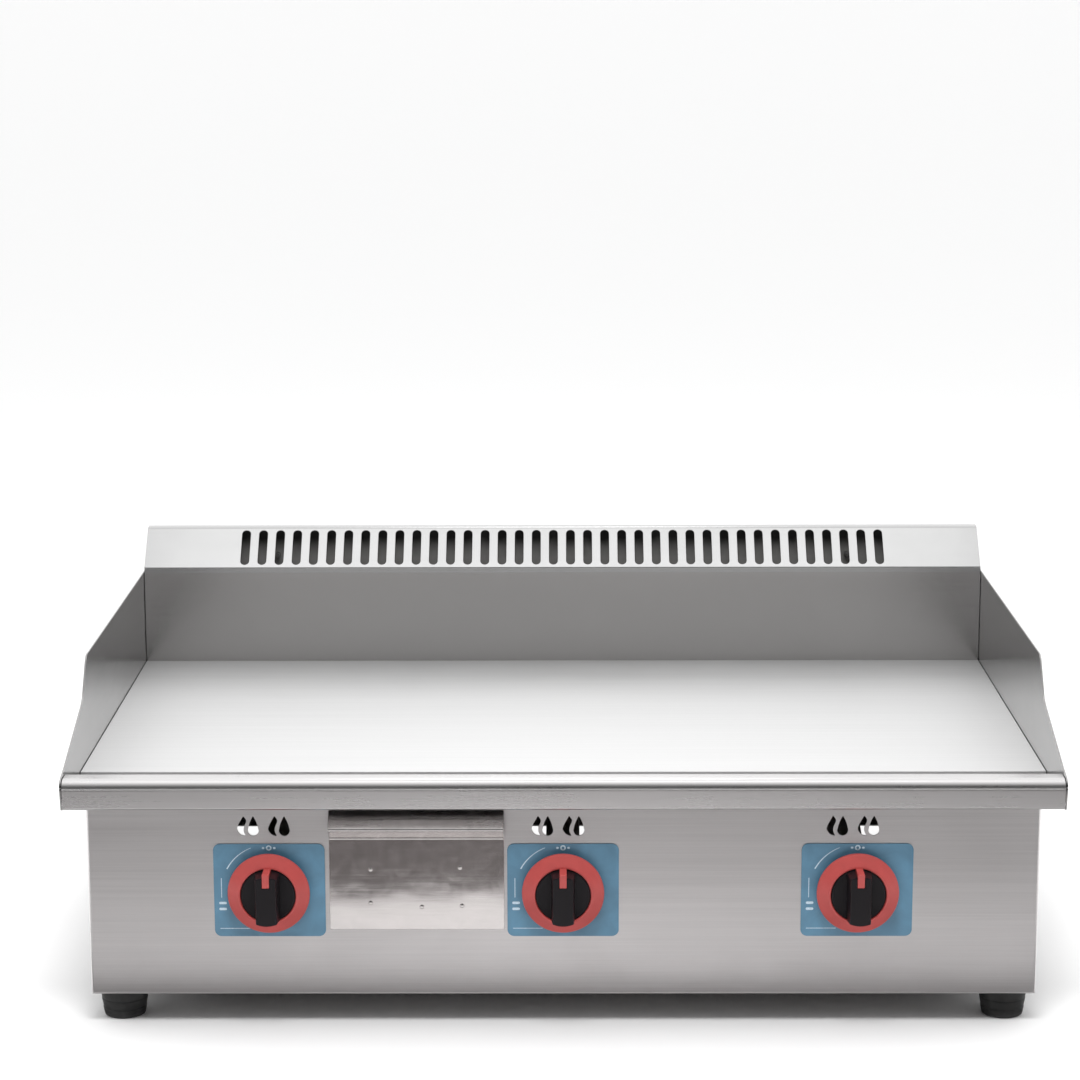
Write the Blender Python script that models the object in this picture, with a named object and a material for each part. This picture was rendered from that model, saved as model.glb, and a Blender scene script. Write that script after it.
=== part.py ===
"""Table-top gas griddle with three burners, as separate pieces of sheet metal, castings and mouldings.

Every piece is drawn in body coordinates: X to the right, Y backwards from the front panel's face,
Z up from the underside of the body.  One empty then lifts the whole griddle onto its feet.
"""
from math import acos, asin, atan2, cos, pi, radians, sin, tan

import bmesh
import bpy
from mathutils import Matrix, Vector

MM = 0.001

# ---- driving dimensions ---------------------------------------------------------------------
GAP = 0.3 * MM                    # clearance between pieces that touch
SHEET = 1.2 * MM                  # stainless sheet
OVERCUT = MM                      # how far a cutter runs past the face it opens

BODY_WIDTH = 700 * MM
BODY_DEPTH = 450 * MM
BODY_TOP = 145.6 * MM             # upper edge of the body panels
RETURN_DEPTH = 18 * MM            # folded side edges of the front and rear panels
FLANGE_DEPTH = 46 * MM            # folded bottom edges of the front and rear panels
REAR_FLANGE_CUT = (305 * MM, 29 * MM)    # between the rear feet the flange is this shallow
SIDE_FLANGE_EDGE = 305 * MM       # inner edge of the side panels' folded bottoms
VENT_GROUP_X = 180 * MM           # air slots in the rear panel, in two groups
VENTS_PER_GROUP = 6
VENT_PITCH = 18 * MM
VENT_SIZE = (6 * MM, 40 * MM)
VENT_Z = 80 * MM

TOP_WIDTH = 730 * MM              # the hob top overhangs the body at both sides
FLOOR_Z = 147.1 * MM              # upper face of the gutter floor
PLATE_BOTTOM = FLOOR_Z + GAP
PLATE_THICKNESS = 6 * MM
PLATE_TOP = PLATE_BOTTOM + PLATE_THICKNESS
PLATE_FRONT = 62.5 * MM
GUTTER_FLOOR_BACK = 70 * MM       # the gutter's floor runs a little way under the plate
DRAIN_Y = 27 * MM
DRAIN_RADIUS = 13 * MM

LIP_FRONT = 20.6 * MM             # how far the front lip stands out from the front panel
LIP_TOP = 170 * MM
LIP_HEM = 147.1 * MM              # lower edge of the lip
GUARD_TOP = 232.5 * MM
LEDGE_EDGE = 335 * MM             # inner edge of the ledges that carry the plate's sides
BACKSPLASH_Y = 413.5 * MM

FLUE_FRONT = 412 * MM
FLUE_HALF_WIDTH = 363.2 * MM      # the cap stands between the splash guards
FLUE_LOW = 232.1 * MM
FLUE_SLOPE_FOOT = 236.8 * MM
FLUE_SLOPE_RISE = 29.7 * MM       # the slotted face leans back at 45 degrees
FLUE_TOP = 267.6 * MM
FLUE_BACK = 451.5 * MM
FLUE_SHEET_TOP = 262 * MM
FLUE_SCREW = (250 * MM, 241 * MM)
SLOT_COUNT = 38
SLOT_PITCH = 14.93 * MM
SLOT_WIDTH = 7.6 * MM
SLOT_LENGTH = 36 * MM

KNOB_PITCH = 216 * MM
KNOB_Z = 81 * MM
KNOB_RADIUS = 30.3 * MM
KNOB_STANDOFF = 6 * MM            # free space behind the knob, which is pushed in to turn
KNOB_FRONT = 29.3 * MM
KNOB_HUB = 20.3 * MM              # inside of the red skirt
GRIP_RADIUS = 20 * MM
GRIP_HALF_WIDTH = 9 * MM
POINTER_SPAN = (10.8 * MM, 21.2 * MM)    # heights of the red pointer over the knob's middle
POINTER_HALF = 2.7 * MM
STEM_HOLE = 7 * MM
LABEL_SIZE = (82 * MM, 71 * MM)
LABEL_Z = 81.2 * MM
LABEL_THICKNESS = 0.5 * MM
SIGHT_HOLE_Z = 130.2 * MM
SIGHT_HOLE_HEIGHT = 15 * MM
SIGHT_PAIRS = (-15.3 * MM, 7.5 * MM)     # middles of the two pairs, from the knob's middle
SIGHT_SPREAD = 4.15 * MM          # flame and drop stand this far either side of a pair's middle
BURNER_COUNT = 3

DRAWER_X = -107.5 * MM
DRAWER_WIDTH = 128.5 * MM
DRAWER_BOTTOM = 51.2 * MM
DRAWER_TOP = 142 * MM
PULL_Z = 130.5 * MM
PULL_REACH = 13.5 * MM
TRAY_SIZE = (120 * MM, 190 * MM)
TRAY_BOTTOM = 53.5 * MM
TRAY_TOP = 118 * MM
TRAY_WALL = MM
DRAWER_RAIL = (22 * MM, 12 * MM)  # height and width of the angles that carry the tray

FOOT_X = 329.3 * MM
FOOT_INSET = 25 * MM
FOOT_HEIGHT = 23 * MM
FOOT_TOP_RADIUS = 18.5 * MM
FOOT_BASE_RADIUS = 15.5 * MM

MANIFOLD_Y = 22 * MM
MANIFOLD_Z = 36 * MM
MANIFOLD_RADIUS = 8 * MM
INLET_X = 325 * MM
INLET_END = 480 * MM
MANIFOLD_END = 434 * MM

RAIL_Y = (200 * MM, 385 * MM)     # front faces of the two burner rails
RAIL_SIZE = 20 * MM
BURNER_RADIUS = 11 * MM
BURNER_LEG_SPREAD = 31 * MM
BURNER_SLANT = radians(15)        # the mixing tube climbs from the injector to the burner's legs
BURNER_MOUTH = 18 * MM            # distances along the mixing tube, from the valve's end
BURNER_CROSS = 103 * MM
MOUTH_RADIUS = 18.5 * MM
MIXER_RADIUS = 13 * MM

# The origin is under the middle of the griddle's overall depth, from the knobs to the gas inlet.
FRAME_SHIFT = Vector((0, -(INLET_END - KNOB_FRONT) / 2, FOOT_HEIGHT))

ROUND_SEGMENTS = 36                # knobs
FOOT_SEGMENTS = 24
SMALL_SEGMENTS = 16
SCREW_SEGMENTS = 12

COLORS = {
    # name: (colour, roughness, metallic)
    "stainless": ((0.62, 0.61, 0.60), 0.34, 1.0),
    "plate_steel": ((0.80, 0.79, 0.77), 0.30, 1.0),
    "polished_steel": ((0.55, 0.52, 0.51), 0.15, 1.0),
    "label_blue": ((0.08, 0.21, 0.36), 0.45, 0.0),
    "knob_red": ((0.66, 0.10, 0.08), 0.38, 0.0),
    "knob_black": ((0.02, 0.02, 0.022), 0.42, 0.0),
    "rubber_black": ((0.02, 0.02, 0.02), 0.75, 0.0),
    "brass": ((0.72, 0.52, 0.22), 0.35, 1.0),
    "pipe_steel": ((0.40, 0.40, 0.41), 0.45, 1.0),
    "burner_steel": ((0.36, 0.34, 0.32), 0.50, 1.0),
    "ceramic_white": ((0.86, 0.84, 0.80), 0.30, 0.0),
    "lead_silicone": ((0.70, 0.68, 0.64), 0.55, 0.0),
    "screw_steel": ((0.70, 0.70, 0.70), 0.25, 1.0),
}


# ---- outlines -------------------------------------------------------------------------------
def rounded(points, steps=4):
    """Outline through (a, b) points; a third number rounds that corner to the radius."""
    outline = []
    count = len(points)
    for index, point in enumerate(points):
        here = Vector(point[:2])
        if len(point) < 3:
            outline.append(here)
            continue
        before = (Vector(points[index - 1][:2]) - here).normalized()
        after = (Vector(points[(index + 1) % count][:2]) - here).normalized()
        half_angle = acos(max(-1.0, min(1.0, before.dot(after)))) / 2
        reach = point[2] / tan(half_angle)
        centre = here + (before + after).normalized() * (point[2] / sin(half_angle))
        start = here + before * reach - centre
        end = here + after * reach - centre
        first = atan2(start.y, start.x)
        sweep = (atan2(end.y, end.x) - first + pi) % (2 * pi) - pi
        for step in range(steps + 1):
            angle = first + sweep * step / steps
            outline.append(centre + Vector((cos(angle), sin(angle))) * point[2])
    return outline


def sheet_section(path, thickness=SHEET):
    """Closed outline of a folded sheet whose middle line follows the open path."""
    half = thickness / 2
    sides = ([], [])
    for index, point in enumerate(path):
        before = (point - path[index - 1]).normalized() if index else None
        after = (path[index + 1] - point).normalized() if index < len(path) - 1 else None
        before = before or after
        after = after or before
        normal = Vector((-before.y - after.y, before.x + after.x)).normalized()
        mitre = half / max(0.2, normal.dot(Vector((-before.y, before.x))))
        sides[0].append(point + normal * mitre)
        sides[1].append(point - normal * mitre)
    return sides[0] + sides[1][::-1]


def circle(radius, centre=(0, 0), segments=SMALL_SEGMENTS):
    turns = (2 * pi * (step + 0.5) / segments for step in range(segments))
    return [Vector((centre[0] + radius * cos(t), centre[1] + radius * sin(t))) for t in turns]


def rectangle(width, height, centre=(0, 0), radius=0.0):
    right, top = centre[0] + width / 2, centre[1] + height / 2
    left, low = centre[0] - width / 2, centre[1] - height / 2
    corners = [(left, low), (right, low), (right, top), (left, top)]
    if radius:
        corners = [(a, b, radius) for a, b in corners]
    return rounded(corners)


def slot_outline(width, length, centre):
    """A slot along the second direction with half-round ends."""
    radius = width / 2
    reach = length / 2 - radius
    outline = []
    for end in (0, 1):
        offset = -reach if end else reach
        for step in range(5):
            angle = pi * (step / 4 + end)
            outline.append(Vector((centre[0] + radius * cos(angle),
                                   centre[1] + offset + radius * sin(angle))))
    return outline


def drop_outline(radius, height, centre, steps=10):
    """A drop: a round foot with straight flanks up to a point."""
    middle = centre[1] - height / 2 + radius
    start = acos(radius / (height - radius))
    outline = [Vector((centre[0], centre[1] + height / 2))]
    for step in range(steps + 1):
        angle = start + (2 * pi - 2 * start) * step / steps
        outline.append(Vector((centre[0] - radius * sin(angle), middle + radius * cos(angle))))
    return outline


def flame_outline(height, centre, steps=6):
    """A flame bowed to the left: two arcs of different bulge between a foot and a point."""
    top = Vector((centre[0] + 0.07 * height, centre[1] + height / 2))
    shoulder = Vector((centre[0] + 0.21 * height, centre[1] + 0.30 * height))
    foot = Vector((centre[0] + 0.18 * height, centre[1] - height / 2))
    left = bowed(top, foot, -0.30 * height, 2 * steps)
    right = bowed(foot, shoulder, 0.10 * height, steps)
    return left[:-1] + right


def bowed(start, end, bulge, steps):
    """Points from start to end along a parabola that bulges to one side."""
    along = end - start
    side = Vector((along.y, -along.x)).normalized()
    points = []
    for step in range(steps + 1):
        share = step / steps
        points.append(start + along * share - side * bulge * 4 * share * (1 - share))
    return points


def d_outline(radius, flat, centre):
    """A circle cut off by a flat at the given height above its middle."""
    start = asin(flat / radius)
    outline = []
    for step in range(SMALL_SEGMENTS + 1):
        angle = pi - start + (pi + 2 * start) * step / SMALL_SEGMENTS
        outline.append(Vector((centre[0] + radius * cos(angle), centre[1] + radius * sin(angle))))
    return outline


# ---- solids ---------------------------------------------------------------------------------
PLACE = {
    "X": lambda a, b, along: (along, a, b),
    "Y": lambda a, b, along: (a, along, b),
    "Z": lambda a, b, along: (a, b, along),
}


def prism(outline, axis, low, high):
    """Closed solid: an outline across the axis, drawn out from low to high along it."""
    mesh = bmesh.new()
    ends = [[mesh.verts.new(PLACE[axis](p[0], p[1], at)) for p in outline] for at in (low, high)]
    mesh.faces.new(ends[0])
    mesh.faces.new(ends[1])
    count = len(outline)
    for index in range(count):
        follow = (index + 1) % count
        mesh.faces.new((ends[0][index], ends[0][follow], ends[1][follow], ends[1][index]))
    bmesh.ops.recalc_face_normals(mesh, faces=mesh.faces)
    return mesh


def block(x, y, z):
    """A box between the two limits given for each direction."""
    return prism([(x[0], y[0]), (x[1], y[0]), (x[1], y[1]), (x[0], y[1])], "Z", *z)


def turned(profile, axis, centre, segments=SMALL_SEGMENTS, ring=False):
    """Solid of revolution from (radius, along) points; a ring's profile closes on itself."""
    mesh = bmesh.new()
    rows = []
    for radius, along in profile:
        if radius < 1e-6:
            rows.append([mesh.verts.new(PLACE[axis](centre[0], centre[1], along))])
            continue
        row = []
        for step in range(segments):
            angle = 2 * pi * (step + 0.5) / segments
            a = centre[0] + radius * cos(angle)
            b = centre[1] + radius * sin(angle)
            row.append(mesh.verts.new(PLACE[axis](a, b, along)))
        rows.append(row)
    pairs = list(zip(rows, rows[1:]))
    if ring:
        pairs.append((rows[-1], rows[0]))
    for lower, upper in pairs:
        for step in range(segments):
            follow = (step + 1) % segments
            corners = [lower[step % len(lower)], lower[follow % len(lower)]]
            corners += [upper[follow % len(upper)], upper[step % len(upper)]]
            mesh.faces.new(list(dict.fromkeys(corners)))
    bmesh.ops.recalc_face_normals(mesh, faces=mesh.faces)
    return mesh


def rod(radius, axis, centre, low, high, segments=SMALL_SEGMENTS):
    return prism(circle(radius, centre, segments), axis, low, high)


# ---- objects --------------------------------------------------------------------------------
def clear_scene():
    for item in list(bpy.data.objects):
        bpy.data.objects.remove(item, do_unlink=True)


def material(kind):
    if kind in bpy.data.materials:
        return bpy.data.materials[kind]
    color, roughness, metallic = COLORS[kind]
    made = bpy.data.materials.new(kind)
    made.use_nodes = True
    shader = made.node_tree.nodes["Principled BSDF"]
    shader.inputs["Base Color"].default_value = (*color, 1)
    shader.inputs["Roughness"].default_value = roughness
    shader.inputs["Metallic"].default_value = metallic
    return made


def piece(name, mesh, kind, origin=None, smooth=False, parent=None):
    """A named sub-part; its origin goes to the given point, such as one on its joint's axis."""
    data = bpy.data.meshes.new(name)
    start = Vector(origin) if origin else Vector()
    mesh.transform(Matrix.Translation(-start))
    mesh.to_mesh(data)
    mesh.free()
    data.materials.append(material(kind))
    if smooth:
        data.shade_smooth()
        data.set_sharp_from_angle(angle=radians(35))
    made = bpy.data.objects.new(name, data)
    bpy.context.collection.objects.link(made)
    made.location = start
    made.parent = parent or bpy.data.objects["griddle_frame"]
    if parent:
        made.location = start - parent.location
    return made


def origin_of(item):
    """Where an object's origin is in body coordinates, through its parents."""
    place = item.location.copy()
    while item.parent:
        item = item.parent
        place += item.location
    return place


def combine(target, mesh, operation):
    """Cuts a shape from a piece, or joins one to it; the shape stays as a hidden guide."""
    tag = "cutter" if operation == "DIFFERENCE" else "addition"
    name = f"{target.name}_{tag}_{len(target.modifiers)}"
    data = bpy.data.meshes.new(name)
    mesh.transform(Matrix.Translation(-origin_of(target)))
    mesh.to_mesh(data)
    mesh.free()
    guide = bpy.data.objects.new(name, data)
    bpy.context.collection.objects.link(guide)
    guide.parent = target
    guide.hide_render = True
    guide.display_type = "WIRE"
    modifier = target.modifiers.new(tag, "BOOLEAN")
    modifier.operation = operation
    modifier.solver = "EXACT"
    modifier.object = guide


def cut(target, *shapes):
    for mesh in shapes:
        combine(target, mesh, "DIFFERENCE")


def add(target, *shapes):
    for mesh in shapes:
        combine(target, mesh, "UNION")


def gather(meshes):
    """Several loose shapes as one guide."""
    whole = bmesh.new()
    for mesh in meshes:
        data = bpy.data.meshes.new("loose")
        mesh.to_mesh(data)
        mesh.free()
        whole.from_mesh(data)
        bpy.data.meshes.remove(data)
    return whole


def empty(name, location):
    made = bpy.data.objects.new(name, None)
    bpy.context.collection.objects.link(made)
    made.location = location
    return made


# ---- body -----------------------------------------------------------------------------------
HALF_BODY = BODY_WIDTH / 2
SIDE_FACE = HALF_BODY - SHEET - GAP          # outer face of the side panels, inside the returns
KNOB_XS = [(index - (BURNER_COUNT - 1) / 2) * KNOB_PITCH for index in range(BURNER_COUNT)]
FEET = [(side * FOOT_X, y) for y in (FOOT_INSET, BODY_DEPTH - FOOT_INSET) for side in (-1, 1)]
FOOT_NAMES = ["front_left", "front_right", "rear_left", "rear_right"]
FOOT_HOLE = 3 * MM
FOLD = 2 * MM                                # middle radius of an ordinary fold
INLET_HOLE = 11 * MM


def foot_holes(height):
    return gather([rod(FOOT_HOLE, "Z", centre, -MM, height) for centre in FEET])


def end_panel(name, face, inward):
    """Front or rear panel: a sheet at the given Y with side returns and a bottom flange."""
    def span(near, far):
        return sorted((face + inward * near, face + inward * far))

    panel = piece(name, block((-HALF_BODY, HALF_BODY), span(0, SHEET), (0, BODY_TOP)), "stainless")
    add(panel, block((-HALF_BODY, HALF_BODY), span(SHEET / 2, FLANGE_DEPTH), (0, SHEET)))
    for side in (-1, 1):
        edge = sorted((side * HALF_BODY, side * (HALF_BODY - SHEET)))
        add(panel, block(edge, span(SHEET / 2, RETURN_DEPTH), (0, BODY_TOP)))
    cut(panel, foot_holes(SHEET * 2))
    return panel


def through(face, thickness):
    """Depth of a cutter that opens a sheet whose outer face looks towards -Y."""
    return (face - OVERCUT, face + thickness + OVERCUT)


def sight_holes():
    """Over each knob, two flame-and-drop pairs through which the burner's flame is watched."""
    shapes = []
    for x in KNOB_XS:
        for pair in SIGHT_PAIRS:
            flame = flame_outline(SIGHT_HOLE_HEIGHT, (x + pair - SIGHT_SPREAD, SIGHT_HOLE_Z))
            drop = drop_outline(SIGHT_HOLE_HEIGHT / 4, SIGHT_HOLE_HEIGHT,
                                (x + pair + SIGHT_SPREAD, SIGHT_HOLE_Z))
            shapes += [prism(outline, "Y", *through(0, SHEET)) for outline in (flame, drop)]
    return gather(shapes)


def build_front_panel():
    panel = end_panel("front_panel", 0, 1)
    opening_x = TRAY_SIZE[0] / 2 + 1.5 * MM
    shapes = [block((DRAWER_X - opening_x, DRAWER_X + opening_x), through(0, SHEET),
                    (TRAY_BOTTOM - MM, TRAY_TOP + 2.5 * MM))]
    shapes += [rod(STEM_HOLE, "Y", (x, KNOB_Z), *through(0, SHEET)) for x in KNOB_XS]
    cut(panel, gather(shapes), sight_holes())


def build_rear_panel():
    panel = end_panel("rear_panel", BODY_DEPTH, -1)
    depth = through(BODY_DEPTH - SHEET, SHEET)
    shapes = [rod(INLET_HOLE, "Y", (INLET_X, MANIFOLD_Z), *depth)]
    for group in (-VENT_GROUP_X, VENT_GROUP_X):
        for step in range(VENTS_PER_GROUP):
            x = group + (step - (VENTS_PER_GROUP - 1) / 2) * VENT_PITCH
            shapes.append(prism(slot_outline(*VENT_SIZE, (x, VENT_Z)), "Y", *depth))
    half, kept = REAR_FLANGE_CUT
    shapes.append(block((-half, half), (BODY_DEPTH - FLANGE_DEPTH - OVERCUT, BODY_DEPTH - kept),
                        (-OVERCUT, SHEET + OVERCUT)))
    cut(panel, gather(shapes))


def build_side_panels():
    for name, side in (("side_panel_left", -1), ("side_panel_right", 1)):
        low = SHEET + GAP
        face = side * (SIDE_FACE - SHEET / 2)
        path = [(face, BODY_TOP), (face, low + SHEET / 2, FOLD), (side * SIDE_FLANGE_EDGE, low + SHEET / 2)]
        section = sheet_section(rounded(path))
        panel = piece(name, prism(section, "Y", SHEET + GAP, BODY_DEPTH - SHEET - GAP), "stainless")
        cut(panel, foot_holes(2 * low))


def build_feet():
    """Tapered rubber feet, each held by a pan-head screw through both bottom flanges."""
    pocket = 14 * MM
    shank, head_radius, head_height = 2.5 * MM, 5 * MM, 3.2 * MM
    recess = (4 * MM, MM)
    seat = 2 * SHEET + 2 * GAP
    for name, centre in zip(FOOT_NAMES, FEET):
        profile = [(0, -FOOT_HEIGHT), (FOOT_BASE_RADIUS - MM, -FOOT_HEIGHT),
                   (FOOT_BASE_RADIUS, -FOOT_HEIGHT + MM), (FOOT_TOP_RADIUS, -GAP),
                   (FOOT_HOLE, -GAP), (FOOT_HOLE, -pocket), (0, -pocket)]
        piece(f"foot_{name}", turned(profile, "Z", centre, FOOT_SEGMENTS), "rubber_black", smooth=True)
        top = seat + head_height
        profile = [(0, MM - pocket), (shank, MM - pocket), (shank, seat), (head_radius, seat),
                   (head_radius, top - 1.2 * MM), (0.7 * head_radius, top), (0, top)]
        screw = piece(f"foot_screw_{name}", turned(profile, "Z", centre, SCREW_SEGMENTS), "screw_steel",
                      smooth=True)
        for width, depth in (recess, recess[::-1]):
            cut(screw, block((centre[0] - width / 2, centre[0] + width / 2),
                             (centre[1] - depth / 2, centre[1] + depth / 2),
                             (top - 1.4 * MM, top + OVERCUT)))


def build_burner_rails():
    """Two angles across the body, with the burners' legs lying on them."""
    top = CROSS_Z - BURNER_RADIUS - GAP
    reach = SIDE_FACE - SHEET - GAP
    for name, y in zip(("burner_rail_front", "burner_rail_rear"), RAIL_Y):
        path = [(y + SHEET / 2, top - RAIL_SIZE), (y + SHEET / 2, top - SHEET / 2, FOLD),
                (y + RAIL_SIZE, top - SHEET / 2)]
        piece(name, prism(sheet_section(rounded(path)), "X", -reach, reach), "stainless")


# ---- hob top --------------------------------------------------------------------------------
HALF_TOP = TOP_WIDTH / 2
INNER_TOP = HALF_TOP - SHEET - GAP           # half width of the pieces between the splash guards
BACKSPLASH_TOP = FLUE_SLOPE_FOOT - 2 * MM    # it reaches up behind the flue cap's front edge
DRAIN = (DRAWER_X, DRAIN_Y)


def build_griddle_plate():
    plate = block((-INNER_TOP, INNER_TOP), (PLATE_FRONT, BACKSPLASH_Y - GAP), (PLATE_BOTTOM, PLATE_TOP))
    piece("griddle_plate", plate, "plate_steel")


def build_grease_gutter():
    """Front lip, rounded over its crest, that runs down into the floor of the grease gutter."""
    half = SHEET / 2
    hem = LIP_HEM + half
    crest = LIP_TOP - half
    wall = SHEET
    path = [(-10 * MM, hem), (-16.8 * MM, hem, 1.8 * MM), (-LIP_FRONT + half, crest, 6.5 * MM),
            (wall, crest, 3.5 * MM), (wall, FLOOR_Z - half, 1.5 * MM), (GUTTER_FLOOR_BACK, FLOOR_Z - half)]
    section = sheet_section(rounded(path, 5))
    gutter = piece("grease_gutter", prism(section, "X", -INNER_TOP, INNER_TOP), "stainless")
    cut(gutter, rod(DRAIN_RADIUS, "Z", DRAIN, FLOOR_Z - SHEET - OVERCUT, FLOOR_Z + OVERCUT))


def build_drain_spout():
    """Flanged tube under the gutter's drain hole, over the drawer's tray."""
    top = FLOOR_Z - SHEET - GAP
    outside = DRAIN_RADIUS + 1.5 * MM
    flange = DRAIN_RADIUS + 9 * MM
    low = top - 21 * MM
    profile = [(DRAIN_RADIUS, top), (flange, top), (flange, top - SHEET), (outside, top - SHEET),
               (outside, low), (DRAIN_RADIUS, low)]
    piece("drain_spout", turned(profile, "Z", DRAIN, ring=True), "stainless", smooth=True)


def build_splash_guards():
    """Side guards: level along the plate, then swept down to the crest of the front lip."""
    back = BODY_DEPTH - SHEET - GAP
    foot = BODY_TOP + GAP
    outline = rounded([(back, foot), (back, GUARD_TOP), (110 * MM, GUARD_TOP, 10 * MM),
                       (86.5 * MM, 202 * MM, 24 * MM), (-2 * MM, LIP_TOP + 4 * MM, 24 * MM),
                       (-LIP_FRONT - 0.6 * MM, LIP_TOP - 0.8 * MM, 7 * MM),
                       (-17.2 * MM, LIP_HEM, 2 * MM), (-11 * MM, foot)], 6)
    for name, side in (("splash_guard_left", -1), ("splash_guard_right", 1)):
        faces = sorted((side * (HALF_TOP - SHEET), side * HALF_TOP))
        guard = piece(name, prism(outline, "X", *faces), "stainless")
        ledge = sorted((side * LEDGE_EDGE, side * (HALF_TOP - SHEET / 2)))
        add(guard, block(ledge, (GUTTER_FLOOR_BACK + MM, back - MM), (FLOOR_Z - SHEET, FLOOR_Z)))


def build_backsplash():
    sheet = block((-INNER_TOP, INNER_TOP), (BACKSPLASH_Y, BACKSPLASH_Y + SHEET),
                  (PLATE_BOTTOM, BACKSPLASH_TOP))
    piece("backsplash", sheet, "stainless")


def build_flue():
    """Flue behind the plate: an upright back sheet and a sloping cap with slots over both."""
    narrow = FLUE_HALF_WIDTH - SHEET - GAP
    shoulder = FLUE_LOW - GAP
    foot = BODY_TOP + GAP
    outline = [(-INNER_TOP, foot), (INNER_TOP, foot), (INNER_TOP, shoulder), (narrow, shoulder),
               (narrow, FLUE_SHEET_TOP), (-narrow, FLUE_SHEET_TOP), (-narrow, shoulder),
               (-INNER_TOP, shoulder)]
    piece("flue_back", prism(outline, "Y", BODY_DEPTH - SHEET, BODY_DEPTH), "stainless")
    cap = build_flue_cap()
    for name, side in (("flue_screw_left", -1), ("flue_screw_right", 1)):
        build_flue_screw(name, (side * FLUE_SCREW[0], FLUE_SCREW[1]), cap)


def build_flue_cap():
    bend = FLUE_FRONT + FLUE_SLOPE_RISE
    crown = FLUE_SLOPE_FOOT + FLUE_SLOPE_RISE
    outer = [(FLUE_FRONT, FLUE_LOW), (FLUE_FRONT, FLUE_SLOPE_FOOT), (bend, crown, 4 * MM),
             (FLUE_BACK, FLUE_TOP, 2.4 * MM), (FLUE_BACK, FLUE_LOW)]
    inset = SHEET * tan(radians(22.5))
    front = FLUE_FRONT + SHEET
    back = FLUE_BACK - SHEET
    below = FLUE_LOW - OVERCUT
    inner = [(front, below), (front, FLUE_SLOPE_FOOT - inset), (bend + inset, crown - SHEET, 3 * MM),
             (back, FLUE_TOP - SHEET, 1.2 * MM), (back, below)]
    cap = piece("flue_cap", prism(rounded(outer), "X", -FLUE_HALF_WIDTH, FLUE_HALF_WIDTH), "stainless")
    ends = FLUE_HALF_WIDTH + OVERCUT
    cut(cap, prism(rounded(inner), "X", -FLUE_HALF_WIDTH + SHEET, FLUE_HALF_WIDTH - SHEET))
    cut(cap, block((-ends, ends), (front, back), (below, BACKSPLASH_TOP + GAP)))
    reach = 4 * MM
    slots = []
    for index in range(SLOT_COUNT):
        x = (index - (SLOT_COUNT - 1) / 2) * SLOT_PITCH
        slots.append(prism(slot_outline(SLOT_WIDTH, SLOT_LENGTH, (x, 0)), "Z", -reach, reach))
    cutter = gather(slots)
    cutter.transform(Matrix.Rotation(radians(45), 4, "X"))
    half_rise = FLUE_SLOPE_RISE / 2
    cutter.transform(Matrix.Translation((0, FLUE_FRONT + half_rise, FLUE_SLOPE_FOOT + half_rise)))
    cut(cap, cutter)
    return cap


def build_flue_screw(name, centre, cap):
    """Pan-head screw that holds the cap's rear edge to the flue's back sheet."""
    face = FLUE_BACK + GAP
    hole = 2.3 * MM
    cut(cap, rod(hole, "Y", centre, *through(FLUE_BACK - SHEET, SHEET), SCREW_SEGMENTS))
    cut(bpy.data.objects["flue_back"],
        rod(hole, "Y", centre, *through(BODY_DEPTH - SHEET, SHEET), SCREW_SEGMENTS))
    shank, head_radius, head_height = 2 * MM, 4 * MM, 2.4 * MM
    tip = face - 8 * MM
    profile = [(0, tip), (shank, tip), (shank, face), (head_radius, face),
               (head_radius, face + head_height - MM), (0.7 * head_radius, face + head_height),
               (0, face + head_height)]
    screw = piece(name, turned(profile, "Y", centre, SCREW_SEGMENTS), "screw_steel", smooth=True)
    slot = (2.2 * MM, 0.5 * MM)
    cut(screw, block((centre[0] - slot[0], centre[0] + slot[0]),
                     (face + head_height - MM, face + head_height + OVERCUT),
                     (centre[1] - slot[1], centre[1] + slot[1])))


# ---- grease drawer --------------------------------------------------------------------------
def build_drawer():
    drawer = empty("drawer_slide", (DRAWER_X, 0, TRAY_BOTTOM))
    drawer.parent = bpy.data.objects["griddle_frame"]
    middle = -GAP - SHEET / 2
    path = [(middle, DRAWER_BOTTOM), (middle, PULL_Z - 9 * MM, 3 * MM),
            (-PULL_REACH + SHEET / 2, PULL_Z, 1.1 * MM), (middle, DRAWER_TOP)]
    section = sheet_section(rounded(path, 5))
    half = DRAWER_WIDTH / 2
    piece("drawer_front", prism(section, "X", DRAWER_X - half, DRAWER_X + half), "polished_steel",
          origin=drawer.location, parent=drawer)
    half = TRAY_SIZE[0] / 2
    wall = TRAY_WALL
    tray = piece("drawer_tray", block((DRAWER_X - half, DRAWER_X + half), (0, TRAY_SIZE[1]),
                                      (TRAY_BOTTOM, TRAY_TOP)), "stainless",
                 origin=drawer.location, parent=drawer)
    cut(tray, block((DRAWER_X - half + wall, DRAWER_X + half - wall), (wall, TRAY_SIZE[1] - wall),
                    (TRAY_BOTTOM + wall, TRAY_TOP + OVERCUT)))
    for name, side in (("drawer_rail_left", -1), ("drawer_rail_right", 1)):
        edge = DRAWER_X + side * (half + 0.8 * MM + SHEET / 2)
        floor = TRAY_BOTTOM - GAP - SHEET / 2
        path = [(edge, floor + DRAWER_RAIL[0]), (edge, floor, MM), (edge - side * DRAWER_RAIL[1], floor)]
        piece(name, prism(sheet_section(rounded(path)), "Y", SHEET + GAP, RAIL_Y[0] - GAP), "stainless")


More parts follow.
